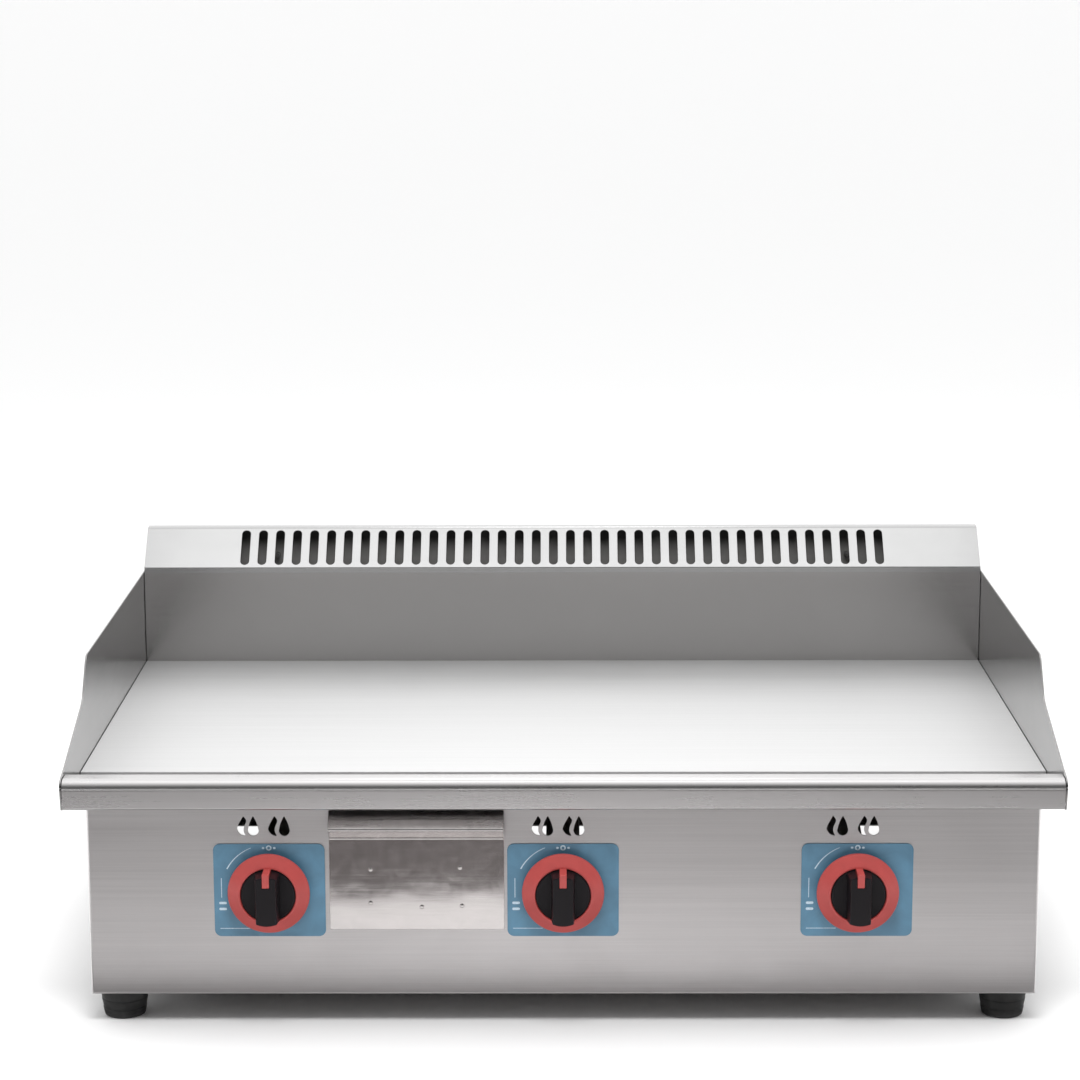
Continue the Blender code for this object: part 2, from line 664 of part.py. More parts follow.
# ---- gas train ------------------------------------------------------------------------------
STEM_RADIUS = 3 * MM
STEM_FLAT = 1.8 * MM
STEM_SPAN = (-21.5 * MM, 22 * MM)
PLUG_RADIUS = 7 * MM
PLUG_SPAN = (12 * MM, 34 * MM)
VALVE_RADIUS = 10 * MM
VALVE_SPAN = (1.6 * MM, 40 * MM)
GAS_WAY = 2 * MM                             # radius of the passage out of the valve
BURNER_START = Vector((0, VALVE_SPAN[1] + 4 * MM, KNOB_Z))    # where the slanting axis begins
CROSS_Z = KNOB_Z + BURNER_CROSS * sin(BURNER_SLANT)
CROSS_Y = BURNER_START.y + BURNER_CROSS * cos(BURNER_SLANT)


def slanted(mesh, x):
    """Turns a shape drawn along Y from the origin onto a burner's slanting axis."""
    mesh.transform(Matrix.Rotation(BURNER_SLANT, 4, "X"))
    mesh.transform(Matrix.Translation(BURNER_START + Vector((x, 0, 0))))
    return mesh


def build_gas_valve(number, x):
    """Brass body around the turning plug, on a foot that screws into the manifold."""
    centre = (x, KNOB_Z)
    half = VALVE_RADIUS + MM
    valve = piece(f"gas_valve_{number}", rod(VALVE_RADIUS, "Y", centre, *VALVE_SPAN), "brass", smooth=True)
    add(valve, block((x - half, x + half), (PLUG_SPAN[0] - 3 * MM, PLUG_SPAN[1] - MM),
                     (KNOB_Z - half, KNOB_Z + half)))
    inlet_foot = MANIFOLD_Z + MANIFOLD_RADIUS + GAP
    add(valve, rod(6 * MM, "Z", (x, MANIFOLD_Y), inlet_foot, KNOB_Z - VALVE_RADIUS + GAS_WAY, 6))
    stem_way = STEM_RADIUS + 0.4 * MM
    plug_way = PLUG_RADIUS + GAP
    chamber = [(0, 0), (stem_way, 0), (stem_way, PLUG_SPAN[0] - GAP), (plug_way, PLUG_SPAN[0] - GAP),
               (plug_way, PLUG_SPAN[1] + GAP), (GAS_WAY, PLUG_SPAN[1] + GAP),
               (GAS_WAY, VALVE_SPAN[1] + OVERCUT), (0, VALVE_SPAN[1] + OVERCUT)]
    cut(valve, turned(chamber, "Y", centre, 24))
    cut(valve, rod(GAS_WAY, "Z", (x, MANIFOLD_Y), inlet_foot - OVERCUT, KNOB_Z - PLUG_RADIUS, SCREW_SEGMENTS))


def build_valve_plug(number, x):
    """The part of the valve that turns; the stem slides in its D-shaped bore."""
    centre = (x, KNOB_Z)
    turn = empty(f"knob_turn_{number}", (x, 0, KNOB_Z))
    turn.parent = bpy.data.objects["griddle_frame"]
    plug = piece(f"valve_plug_{number}", rod(PLUG_RADIUS, "Y", centre, *PLUG_SPAN, 24), "brass",
                 origin=turn.location, smooth=True, parent=turn)
    bore = d_outline(STEM_RADIUS + GAP, STEM_FLAT + GAP, centre)
    cut(plug, prism(bore, "Y", PLUG_SPAN[0] - OVERCUT, STEM_SPAN[1] + KNOB_STANDOFF))
    return turn


def build_knob(number, x, turn):
    """Red skirt with its pointer, black grip and the valve's stem, pushed in and turned as one."""
    centre = (x, KNOB_Z)
    stem = prism(d_outline(STEM_RADIUS, STEM_FLAT, centre), "Y", *STEM_SPAN)
    piece(f"valve_stem_{number}", stem, "screw_steel", origin=turn.location, parent=turn)

    back = -KNOB_STANDOFF
    face = back - 8.2 * MM
    profile = [(KNOB_RADIUS - 0.8 * MM, back), (KNOB_RADIUS, back - 0.8 * MM), (KNOB_RADIUS, back - 2 * MM),
               (KNOB_RADIUS - 1.2 * MM, back - 3 * MM), (KNOB_HUB + 1.6 * MM, face + 0.4 * MM),
               (KNOB_HUB + 0.6 * MM, face), (KNOB_HUB, face + 0.6 * MM), (KNOB_HUB, back)]
    skirt = piece(f"knob_skirt_{number}", turned(profile, "Y", centre, ROUND_SEGMENTS, ring=True), "knob_red",
                  origin=turn.location, smooth=True, parent=turn)
    foot, tip = (KNOB_Z + height for height in POINTER_SPAN)
    add(skirt, block((x - POINTER_HALF, x + POINTER_HALF), (-KNOB_FRONT, back - 3 * MM), (foot, tip)))

    disc = back - 7.4 * MM
    boss = back + 1.5 * MM
    profile = [(0, disc), (GRIP_RADIUS, disc), (GRIP_RADIUS, back), (STEM_HOLE, back), (STEM_HOLE, boss),
               (0, boss)]
    grip = piece(f"knob_grip_{number}", turned(profile, "Y", centre, ROUND_SEGMENTS), "knob_black",
                 origin=turn.location, smooth=True, parent=turn)
    add(grip, grip_bar(x, GRIP_RADIUS - 0.4 * MM))
    groove = POINTER_HALF + GAP
    cut(grip, block((x - groove, x + groove), (-KNOB_FRONT - OVERCUT, back - 2.7 * MM),
                    (foot - GAP, KNOB_Z + GRIP_RADIUS + 3 * MM)))
    cut(grip, prism(d_outline(STEM_RADIUS + GAP, STEM_FLAT + GAP, centre), "Y", STEM_SPAN[0] - 0.5 * MM, 0))


def grip_bar(x, radius):
    """Upright bar across the knob, tapering a little towards its face, with round ends."""
    mesh = bmesh.new()
    rows = []
    steps = 6
    for along, shrink in ((-10 * MM, 0.0), (-27.5 * MM, 0.9 * MM), (-KNOB_FRONT + 0.2 * MM, 1.7 * MM)):
        half = GRIP_HALF_WIDTH - shrink
        reach = radius - shrink
        row = []
        for end in (1, -1):
            start = asin(half / reach)
            for step in range(steps + 1):
                angle = end * pi / 2 - start + 2 * start * step / steps
                row.append(mesh.verts.new((x + reach * cos(angle), along, KNOB_Z + reach * sin(angle))))
        rows.append(row)
    mesh.faces.new(rows[0])
    mesh.faces.new(rows[-1])
    for lower, upper in zip(rows, rows[1:]):
        for index in range(len(lower)):
            follow = (index + 1) % len(lower)
            mesh.faces.new((lower[index], lower[follow], upper[follow], upper[index]))
    bmesh.ops.recalc_face_normals(mesh, faces=mesh.faces)
    return mesh


def build_control_label(number, x):
    face = -GAP - LABEL_THICKNESS
    outline = rectangle(*LABEL_SIZE, (x, LABEL_Z), 5 * MM)
    label = piece(f"control_label_{number}", prism(outline, "Y", face, -GAP), "label_blue")
    cut(label, rod(STEM_HOLE + MM, "Y", (x, KNOB_Z), *through(face, LABEL_THICKNESS)))


def build_injector(number, x):
    """Brass jet: a hexagonal foot on the valve and a nozzle aimed up the burner's mixing tube."""
    start = VALVE_SPAN[1] + GAP
    jet = 1.2 * MM
    injector = piece(f"injector_{number}", rod(6 * MM, "Y", (x, KNOB_Z), start, start + 6 * MM, 6), "brass")
    nozzle = [(0, 0), (4.4 * MM, 0), (4.4 * MM, 11 * MM), (2.6 * MM, 15 * MM), (0, 15 * MM)]
    add(injector, slanted(turned(nozzle, "Y", (0, 0), SCREW_SEGMENTS), x))
    cut(injector, rod(jet, "Y", (x, KNOB_Z), start - OVERCUT, BURNER_START.y + GAP, 8))
    cut(injector, slanted(rod(jet, "Y", (0, 0), 0, 16 * MM, 8), x))


def build_burner(number, x):
    """Fork burner: a climbing mixing tube with a bell mouth, a cross tube and two legs."""
    mouth = BURNER_MOUTH
    profile = [(0, mouth), (MOUTH_RADIUS, mouth), (MOUTH_RADIUS, mouth + 4 * MM),
               (MIXER_RADIUS, mouth + 16 * MM), (MIXER_RADIUS, BURNER_CROSS - 4 * MM),
               (0, BURNER_CROSS - 4 * MM)]
    burner = piece(f"burner_{number}", slanted(turned(profile, "Y", (0, 0)), x), "burner_steel", smooth=True)
    reach = BURNER_LEG_SPREAD + 12 * MM
    add(burner, rod(BURNER_RADIUS, "X", (CROSS_Y, CROSS_Z), x - reach, x + reach))
    leg_radius = BURNER_RADIUS - 0.4 * MM
    end = RAIL_Y[1] + RAIL_SIZE - FOLD
    for side in (-1, 1):
        profile = [(0, CROSS_Y - FOLD), (leg_radius, CROSS_Y - FOLD), (leg_radius, end - 6 * MM),
                   (leg_radius - 4 * MM, end), (0, end)]
        add(burner, turned(profile, "Y", (x + side * BURNER_LEG_SPREAD, CROSS_Z)))
    wall = 3 * MM
    bell = [(0, mouth - OVERCUT), (MOUTH_RADIUS - 2 * MM, mouth - OVERCUT),
            (MOUTH_RADIUS - 2 * MM, mouth + 3 * MM), (MIXER_RADIUS - wall, mouth + 18 * MM),
            (MIXER_RADIUS - wall, BURNER_CROSS - 20 * MM), (0, BURNER_CROSS - 20 * MM)]
    cut(burner, slanted(turned(bell, "Y", (0, 0)), x))


def build_ignition(number, x):
    """Spark electrode behind the burner's cross tube, and its lead to the valve's spark switch."""
    behind = CROSS_Y + BURNER_RADIUS + 4 * MM
    foot = CROSS_Z - 6 * MM
    body, rod_radius = 3.5 * MM, 0.9 * MM
    profile = [(0, foot), (body - 0.9 * MM, foot), (body, foot + MM), (body, foot + 22 * MM),
               (2 * MM, foot + 26 * MM), (rod_radius, foot + 26 * MM), (rod_radius, foot + 36 * MM),
               (0, foot + 36 * MM)]
    piece(f"ignition_electrode_{number}", turned(profile, "Z", (x, behind), SCREW_SEGMENTS),
          "ceramic_white", smooth=True)
    lead = x + 8.5 * MM
    under_valve = KNOB_Z - VALVE_RADIUS - MM - GAP
    route = [(x, behind, foot - GAP), (x, behind, foot - 8 * MM), (x + 2 * MM, behind - 9 * MM, 70 * MM),
             (x + 5 * MM, 115 * MM, 60 * MM), (x + 8 * MM, 70 * MM, 55 * MM), (lead, 40 * MM, 56 * MM),
             (lead, 31 * MM, 60 * MM), (lead, 30 * MM, 66 * MM), (lead, 30 * MM, under_valve)]
    wire(f"ignition_lead_{number}", smooth_route(route, 2), 1.4 * MM, "lead_silicone")


def smooth_route(points, steps):
    """Points along a Catmull-Rom curve through the given ones."""
    points = [Vector(point) for point in points]
    padded = [points[0]] + points + [points[-1]]
    route = []
    for index in range(1, len(padded) - 2):
        a, b, c, d = padded[index - 1:index + 3]
        for step in range(steps):
            t = step / steps
            route.append(0.5 * ((2 * b) + (c - a) * t + (2 * a - 5 * b + 4 * c - d) * t ** 2
                                + (3 * b - 3 * c + d - a) * t ** 3))
    return route + [points[-1]]


def wire(name, route, radius, kind):
    """Round tube along a route, as a curve with filled ends."""
    curve = bpy.data.curves.new(name, "CURVE")
    curve.dimensions = "3D"
    curve.bevel_depth = radius
    curve.bevel_resolution = 2
    curve.use_fill_caps = True
    spline = curve.splines.new("POLY")
    spline.points.add(len(route) - 1)
    for point, place in zip(spline.points, route):
        point.co = (*place, 1)
    curve.materials.append(material(kind))
    made = bpy.data.objects.new(name, curve)
    bpy.context.collection.objects.link(made)
    made.parent = bpy.data.objects["griddle_frame"]


def build_gas_manifold():
    """Pipe behind the front panel under the valves, bent back along the right side to the inlet."""
    left = KNOB_XS[0] - 24 * MM
    bend = 24 * MM
    steps = 6
    route = [Vector((left, MANIFOLD_Y, MANIFOLD_Z)), Vector((0, MANIFOLD_Y, MANIFOLD_Z))]
    for step in range(steps + 1):
        angle = -pi / 2 + pi / 2 * step / steps
        route.append(Vector((INLET_X - bend + bend * cos(angle),
                             MANIFOLD_Y + bend + bend * sin(angle), MANIFOLD_Z)))
    route.append(Vector((INLET_X, MANIFOLD_END, MANIFOLD_Z)))
    wire("gas_manifold", route, MANIFOLD_RADIUS, "pipe_steel")


def build_gas_inlet():
    """Brass hose tail that passes through the rear panel."""
    face = BODY_DEPTH + GAP
    start = MANIFOLD_END + 0.5 * MM
    bore, collar, nut = 3.5 * MM, MANIFOLD_RADIUS + MM, 14 * MM
    neck = INLET_HOLE - 0.6 * MM
    barb, root = 7.2 * MM, 6.1 * MM
    profile = [(bore, start), (collar, start), (collar, BODY_DEPTH - 6 * MM), (neck, BODY_DEPTH - 6 * MM),
               (neck, face), (nut, face), (nut, face + 7 * MM), (root, face + 8.5 * MM)]
    for step in range(3):
        begin = face + (9.5 + 5.5 * step) * MM
        profile += [(barb, begin), (root, begin + 5 * MM)]
    profile += [(root - 0.5 * MM, INLET_END), (bore, INLET_END)]
    piece("gas_inlet_fitting", turned(profile, "Y", (INLET_X, MANIFOLD_Z), ring=True), "brass", smooth=True)


def main():
    clear_scene()
    frame = empty("griddle_frame", (0, 0, 0))
    build_front_panel()
    build_rear_panel()
    build_side_panels()
    build_feet()
    build_burner_rails()
    build_griddle_plate()
    build_grease_gutter()
    build_drain_spout()
    build_splash_guards()
    build_backsplash()
    build_flue()
    build_drawer()
    for number, x in enumerate(KNOB_XS, 1):
        build_gas_valve(number, x)
        build_knob(number, x, build_valve_plug(number, x))
        build_control_label(number, x)
        build_injector(number, x)
        build_burner(number, x)
        build_ignition(number, x)
    build_gas_manifold()
    build_gas_inlet()
    frame.location = FRAME_SHIFT


main()
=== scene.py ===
"""Looks of the table-top gas griddle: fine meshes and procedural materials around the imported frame."""

from math import acos, asin, atan2, cos, pi, radians, sin, tan

import bmesh
import bpy
from mathutils import Matrix, Vector


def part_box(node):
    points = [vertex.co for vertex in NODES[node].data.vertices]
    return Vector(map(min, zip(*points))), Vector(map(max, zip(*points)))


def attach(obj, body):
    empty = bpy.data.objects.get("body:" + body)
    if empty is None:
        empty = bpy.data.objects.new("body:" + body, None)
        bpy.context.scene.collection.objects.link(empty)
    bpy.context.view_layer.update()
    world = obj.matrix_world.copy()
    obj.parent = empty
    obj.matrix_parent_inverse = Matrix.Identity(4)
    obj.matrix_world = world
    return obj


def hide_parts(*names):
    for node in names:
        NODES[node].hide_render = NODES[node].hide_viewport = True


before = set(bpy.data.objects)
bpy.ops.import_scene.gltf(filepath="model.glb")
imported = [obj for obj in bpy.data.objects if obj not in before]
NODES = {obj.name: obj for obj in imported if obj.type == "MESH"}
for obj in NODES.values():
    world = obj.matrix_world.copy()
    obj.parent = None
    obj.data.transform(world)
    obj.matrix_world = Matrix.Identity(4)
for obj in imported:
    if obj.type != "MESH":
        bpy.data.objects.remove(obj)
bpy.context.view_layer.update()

MM = 0.001
SHEET = 1.2 * MM
OVERCUT = MM                          # how far a cutter runs past the face that it opens
BODY_LOW, BODY_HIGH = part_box("front_panel")
PANEL_Y = BODY_LOW.y                  # outer face of the front panel
BASE_Z = BODY_LOW.z                   # underside of the body
BURNER_NUMBERS = (1, 2, 3)
RETURN_DEPTH = 18 * MM                # folded side edges of the front panel
SIGHT_PAIRS = (-15.3 * MM, 7.5 * MM)  # middles of the two pairs, from the knob's middle
SIGHT_SPREAD = 4.15 * MM              # flame and drop stand this far either side of a pair's middle
SIGHT_HOLE_RISE = 49.2 * MM           # from the knob's middle to the middle of the holes
SIGHT_HOLE_HEIGHT = 15 * MM
DROP_RADIUS = 0.265 * SIGHT_HOLE_HEIGHT
STEM_HOLE = 7 * MM
FOOT_HOLE = 3 * MM
LABEL_HOLE = 8 * MM
KNOB_HUB = 20.3 * MM                  # inside of the red skirt
GRIP_DISC = 20 * MM                   # black disc that the grip stands on
GRIP_HALF_WIDTH = 9 * MM
POINTER_FOOT = 10.8 * MM              # heights of the pointer over the knob's middle
POINTER_TIP = 21 * MM
POINTER_HALF = 2.6 * MM
FLUE_FOOT = 4.7 * MM                  # upright foot of the flue cap, below its slope
FLUE_RISE = 29.7 * MM                 # the slotted face climbs this much
FLUE_SLOPE = radians(45)
SLOT_COUNT = 38
SLOT_PITCH = 14.93 * MM
SLOT_SIZE = (7.6 * MM, 36 * MM)
SCREW_HOLE = 2.3 * MM
PULL_HEIGHT = 79.3 * MM               # nose of the drawer's pull over the drawer's lower edge
PULL_DROP = 9 * MM                    # the pull's underside comes back to the face this far down
CARD_GAP = 287 * MM                   # from the front panel to where the mirrored floor turns dark
CARD_TOP = 4 * MM


def spot(x, behind, above):
    """A point by its X, its distance behind the front panel and its height over the body's base."""
    return Vector((x, PANEL_Y + behind, BASE_Z + above))


# ---- outlines and solids --------------------------------------------------------------------
def rounded(points, steps=8):
    """Outline through (a, b) points; a third number rounds that corner to the radius."""
    outline = []
    count = len(points)
    for index, point in enumerate(points):
        here = Vector(point[:2])
        if len(point) < 3:
            outline.append(here)
            continue
        before = (Vector(points[index - 1][:2]) - here).normalized()
        after = (Vector(points[(index + 1) % count][:2]) - here).normalized()
        half_angle = acos(max(-1.0, min(1.0, before.dot(after)))) / 2
        reach = point[2] / tan(half_angle)
        centre = here + (before + after).normalized() * (point[2] / sin(half_angle))
        start = here + before * reach - centre
        end = here + after * reach - centre
        first = atan2(start.y, start.x)
        sweep = (atan2(end.y, end.x) - first + pi) % (2 * pi) - pi
        for step in range(steps + 1):
            angle = first + sweep * step / steps
            outline.append(centre + Vector((cos(angle), sin(angle))) * point[2])
    return outline


def sheet_section(path, thickness=SHEET):
    """Closed outline of a folded sheet whose middle line follows the open path."""
    half = thickness / 2
    sides = ([], [])
    for index, point in enumerate(path):
        before = (point - path[index - 1]).normalized() if index else None
        after = (path[index + 1] - point).normalized() if index < len(path) - 1 else None
        before = before or after
        after = after or before
        normal = Vector((-before.y - after.y, before.x + after.x)).normalized()
        mitre = half / max(0.2, normal.dot(Vector((-before.y, before.x))))
        sides[0].append(point + normal * mitre)
        sides[1].append(point - normal * mitre)
    return sides[0] + sides[1][::-1]


def circle(radius, centre=(0, 0), segments=48):
    turns = (2 * pi * (step + 0.5) / segments for step in range(segments))
    return [Vector((centre[0] + radius * cos(t), centre[1] + radius * sin(t))) for t in turns]


def rectangle(width, height, centre, radius):
    right, top = centre[0] + width / 2, centre[1] + height / 2
    left, low = centre[0] - width / 2, centre[1] - height / 2
    corners = [(left, low), (right, low), (right, top), (left, top)]
    return rounded([(a, b, radius) for a, b in corners])


def slot_outline(width, length, centre, steps=10):
    """A slot along the second direction with half-round ends."""
    radius = width / 2
    reach = length / 2 - radius
    outline = []
    for end in (0, 1):
        offset = -reach if end else reach
        for step in range(steps + 1):
            angle = pi * (step / steps + end)
            outline.append(Vector((centre[0] + radius * cos(angle),
                                   centre[1] + offset + radius * sin(angle))))
    return outline


def drop_outline(radius, height, centre, steps=28):
    """A drop: a round foot with slightly full flanks up to a point."""
    middle = centre[1] - height / 2 + radius
    start = acos(radius / (height - radius))
    tip = Vector((centre[0], centre[1] + height / 2))
    arc = []
    for step in range(steps + 1):
        angle = start + (2 * pi - 2 * start) * step / steps
        arc.append(Vector((centre[0] - radius * sin(angle), middle + radius * cos(angle))))
    fullness = 0.035 * height
    left = bowed(tip, arc[0], fullness, steps=6)
    right = bowed(arc[-1], tip, fullness, steps=6)
    return left[:-1] + arc[:-1] + right[:-1]


def bowed(start, end, bulge, steps):
    """Points from start to end along a parabola that bulges to one side."""
    along = end - start
    side = Vector((along.y, -along.x)).normalized()
    points = []
    for step in range(steps + 1):
        share = step / steps
        points.append(start + along * share + side * bulge * 4 * share * (1 - share))
    return points


def flame_outline(height, centre, steps=5):
    """A flame bowed to the left, with its inner side hollowed like the drop beside it."""
    top, foot = 0, 6                  # the two points that stay sharp
    # points round the flame, in shares of its height from its centre
    shape = ((0.07, 0.50), (-0.07, 0.25), (-0.17, 0.06), (-0.235, -0.17), (-0.12, -0.38), (0.04, -0.48),
             (0.19, -0.50), (0.10, -0.32), (0.09, -0.14), (0.13, 0.02), (0.21, 0.20), (0.19, 0.35))
    points = [Vector((centre[0] + a * height, centre[1] + b * height)) for a, b in shape]
    count = len(points)
    outline = []
    for index in range(count):
        a, b, c, d = (points[(index + step) % count] for step in (-1, 0, 1, 2))
        if index in (top, foot):
            a = b
        if (index + 1) % count in (top, foot):
            d = c
        for step in range(steps):
            t = step / steps
            outline.append(0.5 * ((2 * b) + (c - a) * t + (2 * a - 5 * b + 4 * c - d) * t ** 2
                                  + (3 * b - 3 * c + d - a) * t ** 3))
    return outline


PLACE = {
    "X": lambda a, b, along: (along, a, b),
    "Y": lambda a, b, along: (a, along, b),
    "Z": lambda a, b, along: (a, b, along),
}


def prism(outline, axis, low, high):
    """Closed solid: an outline across the axis, drawn out from low to high along it."""
    mesh = bmesh.new()
    ends = [[mesh.verts.new(PLACE[axis](p[0], p[1], at)) for p in outline] for at in (low, high)]
    mesh.faces.new(ends[0])
    mesh.faces.new(ends[1])
    count = len(outline)
    for index in range(count):
        follow = (index + 1) % count
        mesh.faces.new((ends[0][index], ends[0][follow], ends[1][follow], ends[1][index]))
    bmesh.ops.recalc_face_normals(mesh, faces=mesh.faces)
    return mesh


def block(x, y, z):
    """A box between the two limits given for each direction."""
    return prism([(x[0], y[0]), (x[1], y[0]), (x[1], y[1]), (x[0], y[1])], "Z", *z)


ON_AXIS = 0.001 * MM                  # a profile point this near the axis closes the solid


def turned(profile, axis, centre, segments=96, ring=False):
    """Solid of revolution from (radius, along) points; a ring's profile closes on itself."""
    mesh = bmesh.new()
    rows = []
    for radius, along in profile:
        if radius < ON_AXIS:
            rows.append([mesh.verts.new(PLACE[axis](centre[0], centre[1], along))])
            continue
        row = []
        for step in range(segments):
            angle = 2 * pi * (step + 0.5) / segments
            a = centre[0] + radius * cos(angle)
            b = centre[1] + radius * sin(angle)
            row.append(mesh.verts.new(PLACE[axis](a, b, along)))
        rows.append(row)
    pairs = list(zip(rows, rows[1:]))
    if ring:
        pairs.append((rows[-1], rows[0]))
    for lower, upper in pairs:
        for step in range(segments):
            follow = (step + 1) % segments
            corners = [lower[step % len(lower)], lower[follow % len(lower)]]
            corners += [upper[follow % len(upper)], upper[step % len(upper)]]
            mesh.faces.new(list(dict.fromkeys(corners)))
    bmesh.ops.recalc_face_normals(mesh, faces=mesh.faces)
    return mesh


def gather(meshes):
    """Several loose shapes in one."""
    whole = bmesh.new()
    for mesh in meshes:
        data = bpy.data.meshes.new("loose")
        mesh.to_mesh(data)
        mesh.free()
        whole.from_mesh(data)
        bpy.data.meshes.remove(data)
    return whole


# ---- pieces ---------------------------------------------------------------------------------
def bare_object(name, mesh):
    """A linked object with a finished mesh and nothing else."""
    data = bpy.data.meshes.new(name)
    mesh.to_mesh(data)
    mesh.free()
    made = bpy.data.objects.new(name, data)
    bpy.context.scene.collection.objects.link(made)
    return made


def fold_into(made, shapes, operation):
    """Joins or cuts shapes with the exact solver and keeps only the resulting mesh."""
    guides = []
    for mesh in shapes:
        guide = bare_object("guide", mesh)
        modifier = made.modifiers.new("combine", "BOOLEAN")
        modifier.operation = operation
        modifier.solver = "EXACT"
        modifier.object = guide
        guides.append(guide)
    graph = bpy.context.evaluated_depsgraph_get()
    final = bpy.data.meshes.new_from_object(made.evaluated_get(graph))
    made.modifiers.clear()
    made.data = final
    for guide in guides:
        bpy.data.objects.remove(guide, do_unlink=True)


def soften(item, width, segments=2, angle=30):
    """Small rounded edges and even shading on a piece or a frame node."""
    if width:
        bevel = item.modifiers.new("edges", "BEVEL")
        bevel.width = width
        bevel.segments = segments
        bevel.limit_method = "ANGLE"
        bevel.angle_limit = radians(angle)
        bevel.use_clamp_overlap = True
        bevel.harden_normals = False
    normals = item.modifiers.new("normals", "WEIGHTED_NORMAL")
    normals.mode = "FACE_AREA_WITH_ANGLE"
    normals.weight = 80


def piece(name, mesh, body, surface, replaces=(), cuts=(), joins=(), bevel=0.25 * MM, segments=2):
    """A finished piece that rides on a body, with fine edges and its material."""
    made = bare_object(name, mesh)
    if joins:
        fold_into(made, joins, "UNION")
    if cuts:
        fold_into(made, cuts, "DIFFERENCE")
    made.data.materials.clear()
    made.data.materials.append(surface)
    made.data.shade_smooth()
    soften(made, bevel, segments)
    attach(made, body)
    if replaces:
        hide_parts(*replaces)
    return made


def dress(node, surface, bevel=0.25 * MM, flat=0.6):
    """Keeps a frame node, with its triangles merged into faces, fine edges and a material."""
    item = NODES[node]
    item.data.materials.clear()
    item.data.materials.append(surface)
    for polygon in item.data.polygons:
        polygon.material_index = 0
    item.data.shade_smooth()
    weld = item.modifiers.new("weld", "WELD")
    weld.merge_threshold = 0.01 * MM
    planar = item.modifiers.new("planar", "DECIMATE")
    planar.decimate_type = "DISSOLVE"
    planar.angle_limit = radians(flat)
    soften(item, bevel)


# ---- materials ------------------------------------------------------------------------------
class Surface:
    """A material under construction: small builders for its node tree."""

    def __init__(self, name, color, roughness, metallic, **constants):
        self.material = bpy.data.materials.new(name)
        self.material.use_nodes = True
        self.tree = self.material.node_tree
        self.shader = self.tree.nodes["Principled BSDF"]
        self.shader.inputs["Base Color"].default_value = (*color, 1)
        self.shader.inputs["Roughness"].default_value = roughness
        self.shader.inputs["Metallic"].default_value = metallic
        for key, value in constants.items():
            self.shader.inputs[key.replace("_", " ")].default_value = value
        self.place = self.tree.nodes.new("ShaderNodeTexCoord").outputs["Object"]
        self.color = color
        self.height = None

    def link(self, source, target):
        self.tree.links.new(source, target)

    def stretched(self, scale):
        mapping = self.tree.nodes.new("ShaderNodeMapping")
        mapping.inputs["Scale"].default_value = scale
        self.link(self.place, mapping.inputs["Vector"])
        return mapping.outputs["Vector"]

    def noise(self, scale, detail=3.0, roughness=0.55, distortion=0.0):
        """Noise with its own scale along each direction, in cells per metre."""
        texture = self.tree.nodes.new("ShaderNodeTexNoise")
        texture.inputs["Scale"].default_value = 1.0
        texture.inputs["Detail"].default_value = detail
        texture.inputs["Roughness"].default_value = roughness
        texture.inputs["Distortion"].default_value = distortion
        self.link(self.stretched(scale), texture.inputs["Vector"])
        return texture.outputs["Fac"]

    def remap(self, value, source, target):
        """Maps one range to another, clamped."""
        node = self.tree.nodes.new("ShaderNodeMapRange")
        for key, number in zip(("From Min", "From Max", "To Min", "To Max"), (*source, *target)):
            node.inputs[key].default_value = number
        self.link(value, node.inputs["Value"])
        return node.outputs["Result"]

    def along(self, axis):
        """Position along one axis."""
        split = self.tree.nodes.new("ShaderNodeSeparateXYZ")
        self.link(self.place, split.inputs[0])
        return split.outputs[axis]

    def math(self, operation, first, second):
        node = self.tree.nodes.new("ShaderNodeMath")
        node.operation = operation
        for socket, value in zip(node.inputs, (first, second)):
            if isinstance(value, (int, float)):
                socket.default_value = value
            else:
                self.link(value, socket)
        return node.outputs[0]

    def shade(self, factor, dark, light):
        """Base colour between two tints of the surface's colour, by a factor."""
        node = self.tree.nodes.new("ShaderNodeMix")
        node.data_type = "RGBA"
        node.inputs[6].default_value = (*(c * dark for c in self.color), 1)
        node.inputs[7].default_value = (*(min(1.0, c * light) for c in self.color), 1)
        self.link(factor, node.inputs[0])
        self.link(node.outputs[2], self.shader.inputs["Base Color"])

    def rough(self, factor):
        self.link(factor, self.shader.inputs["Roughness"])

    def bump(self, height, distance, strength=1.0):
        node = self.tree.nodes.new("ShaderNodeBump")
        node.inputs["Strength"].default_value = strength
        node.inputs["Distance"].default_value = distance
        self.link(height, node.inputs["Height"])
        if self.height is not None:
            self.link(self.height, node.inputs["Normal"])
        self.height = node.outputs["Normal"]
        self.link(self.height, self.shader.inputs["Normal"])


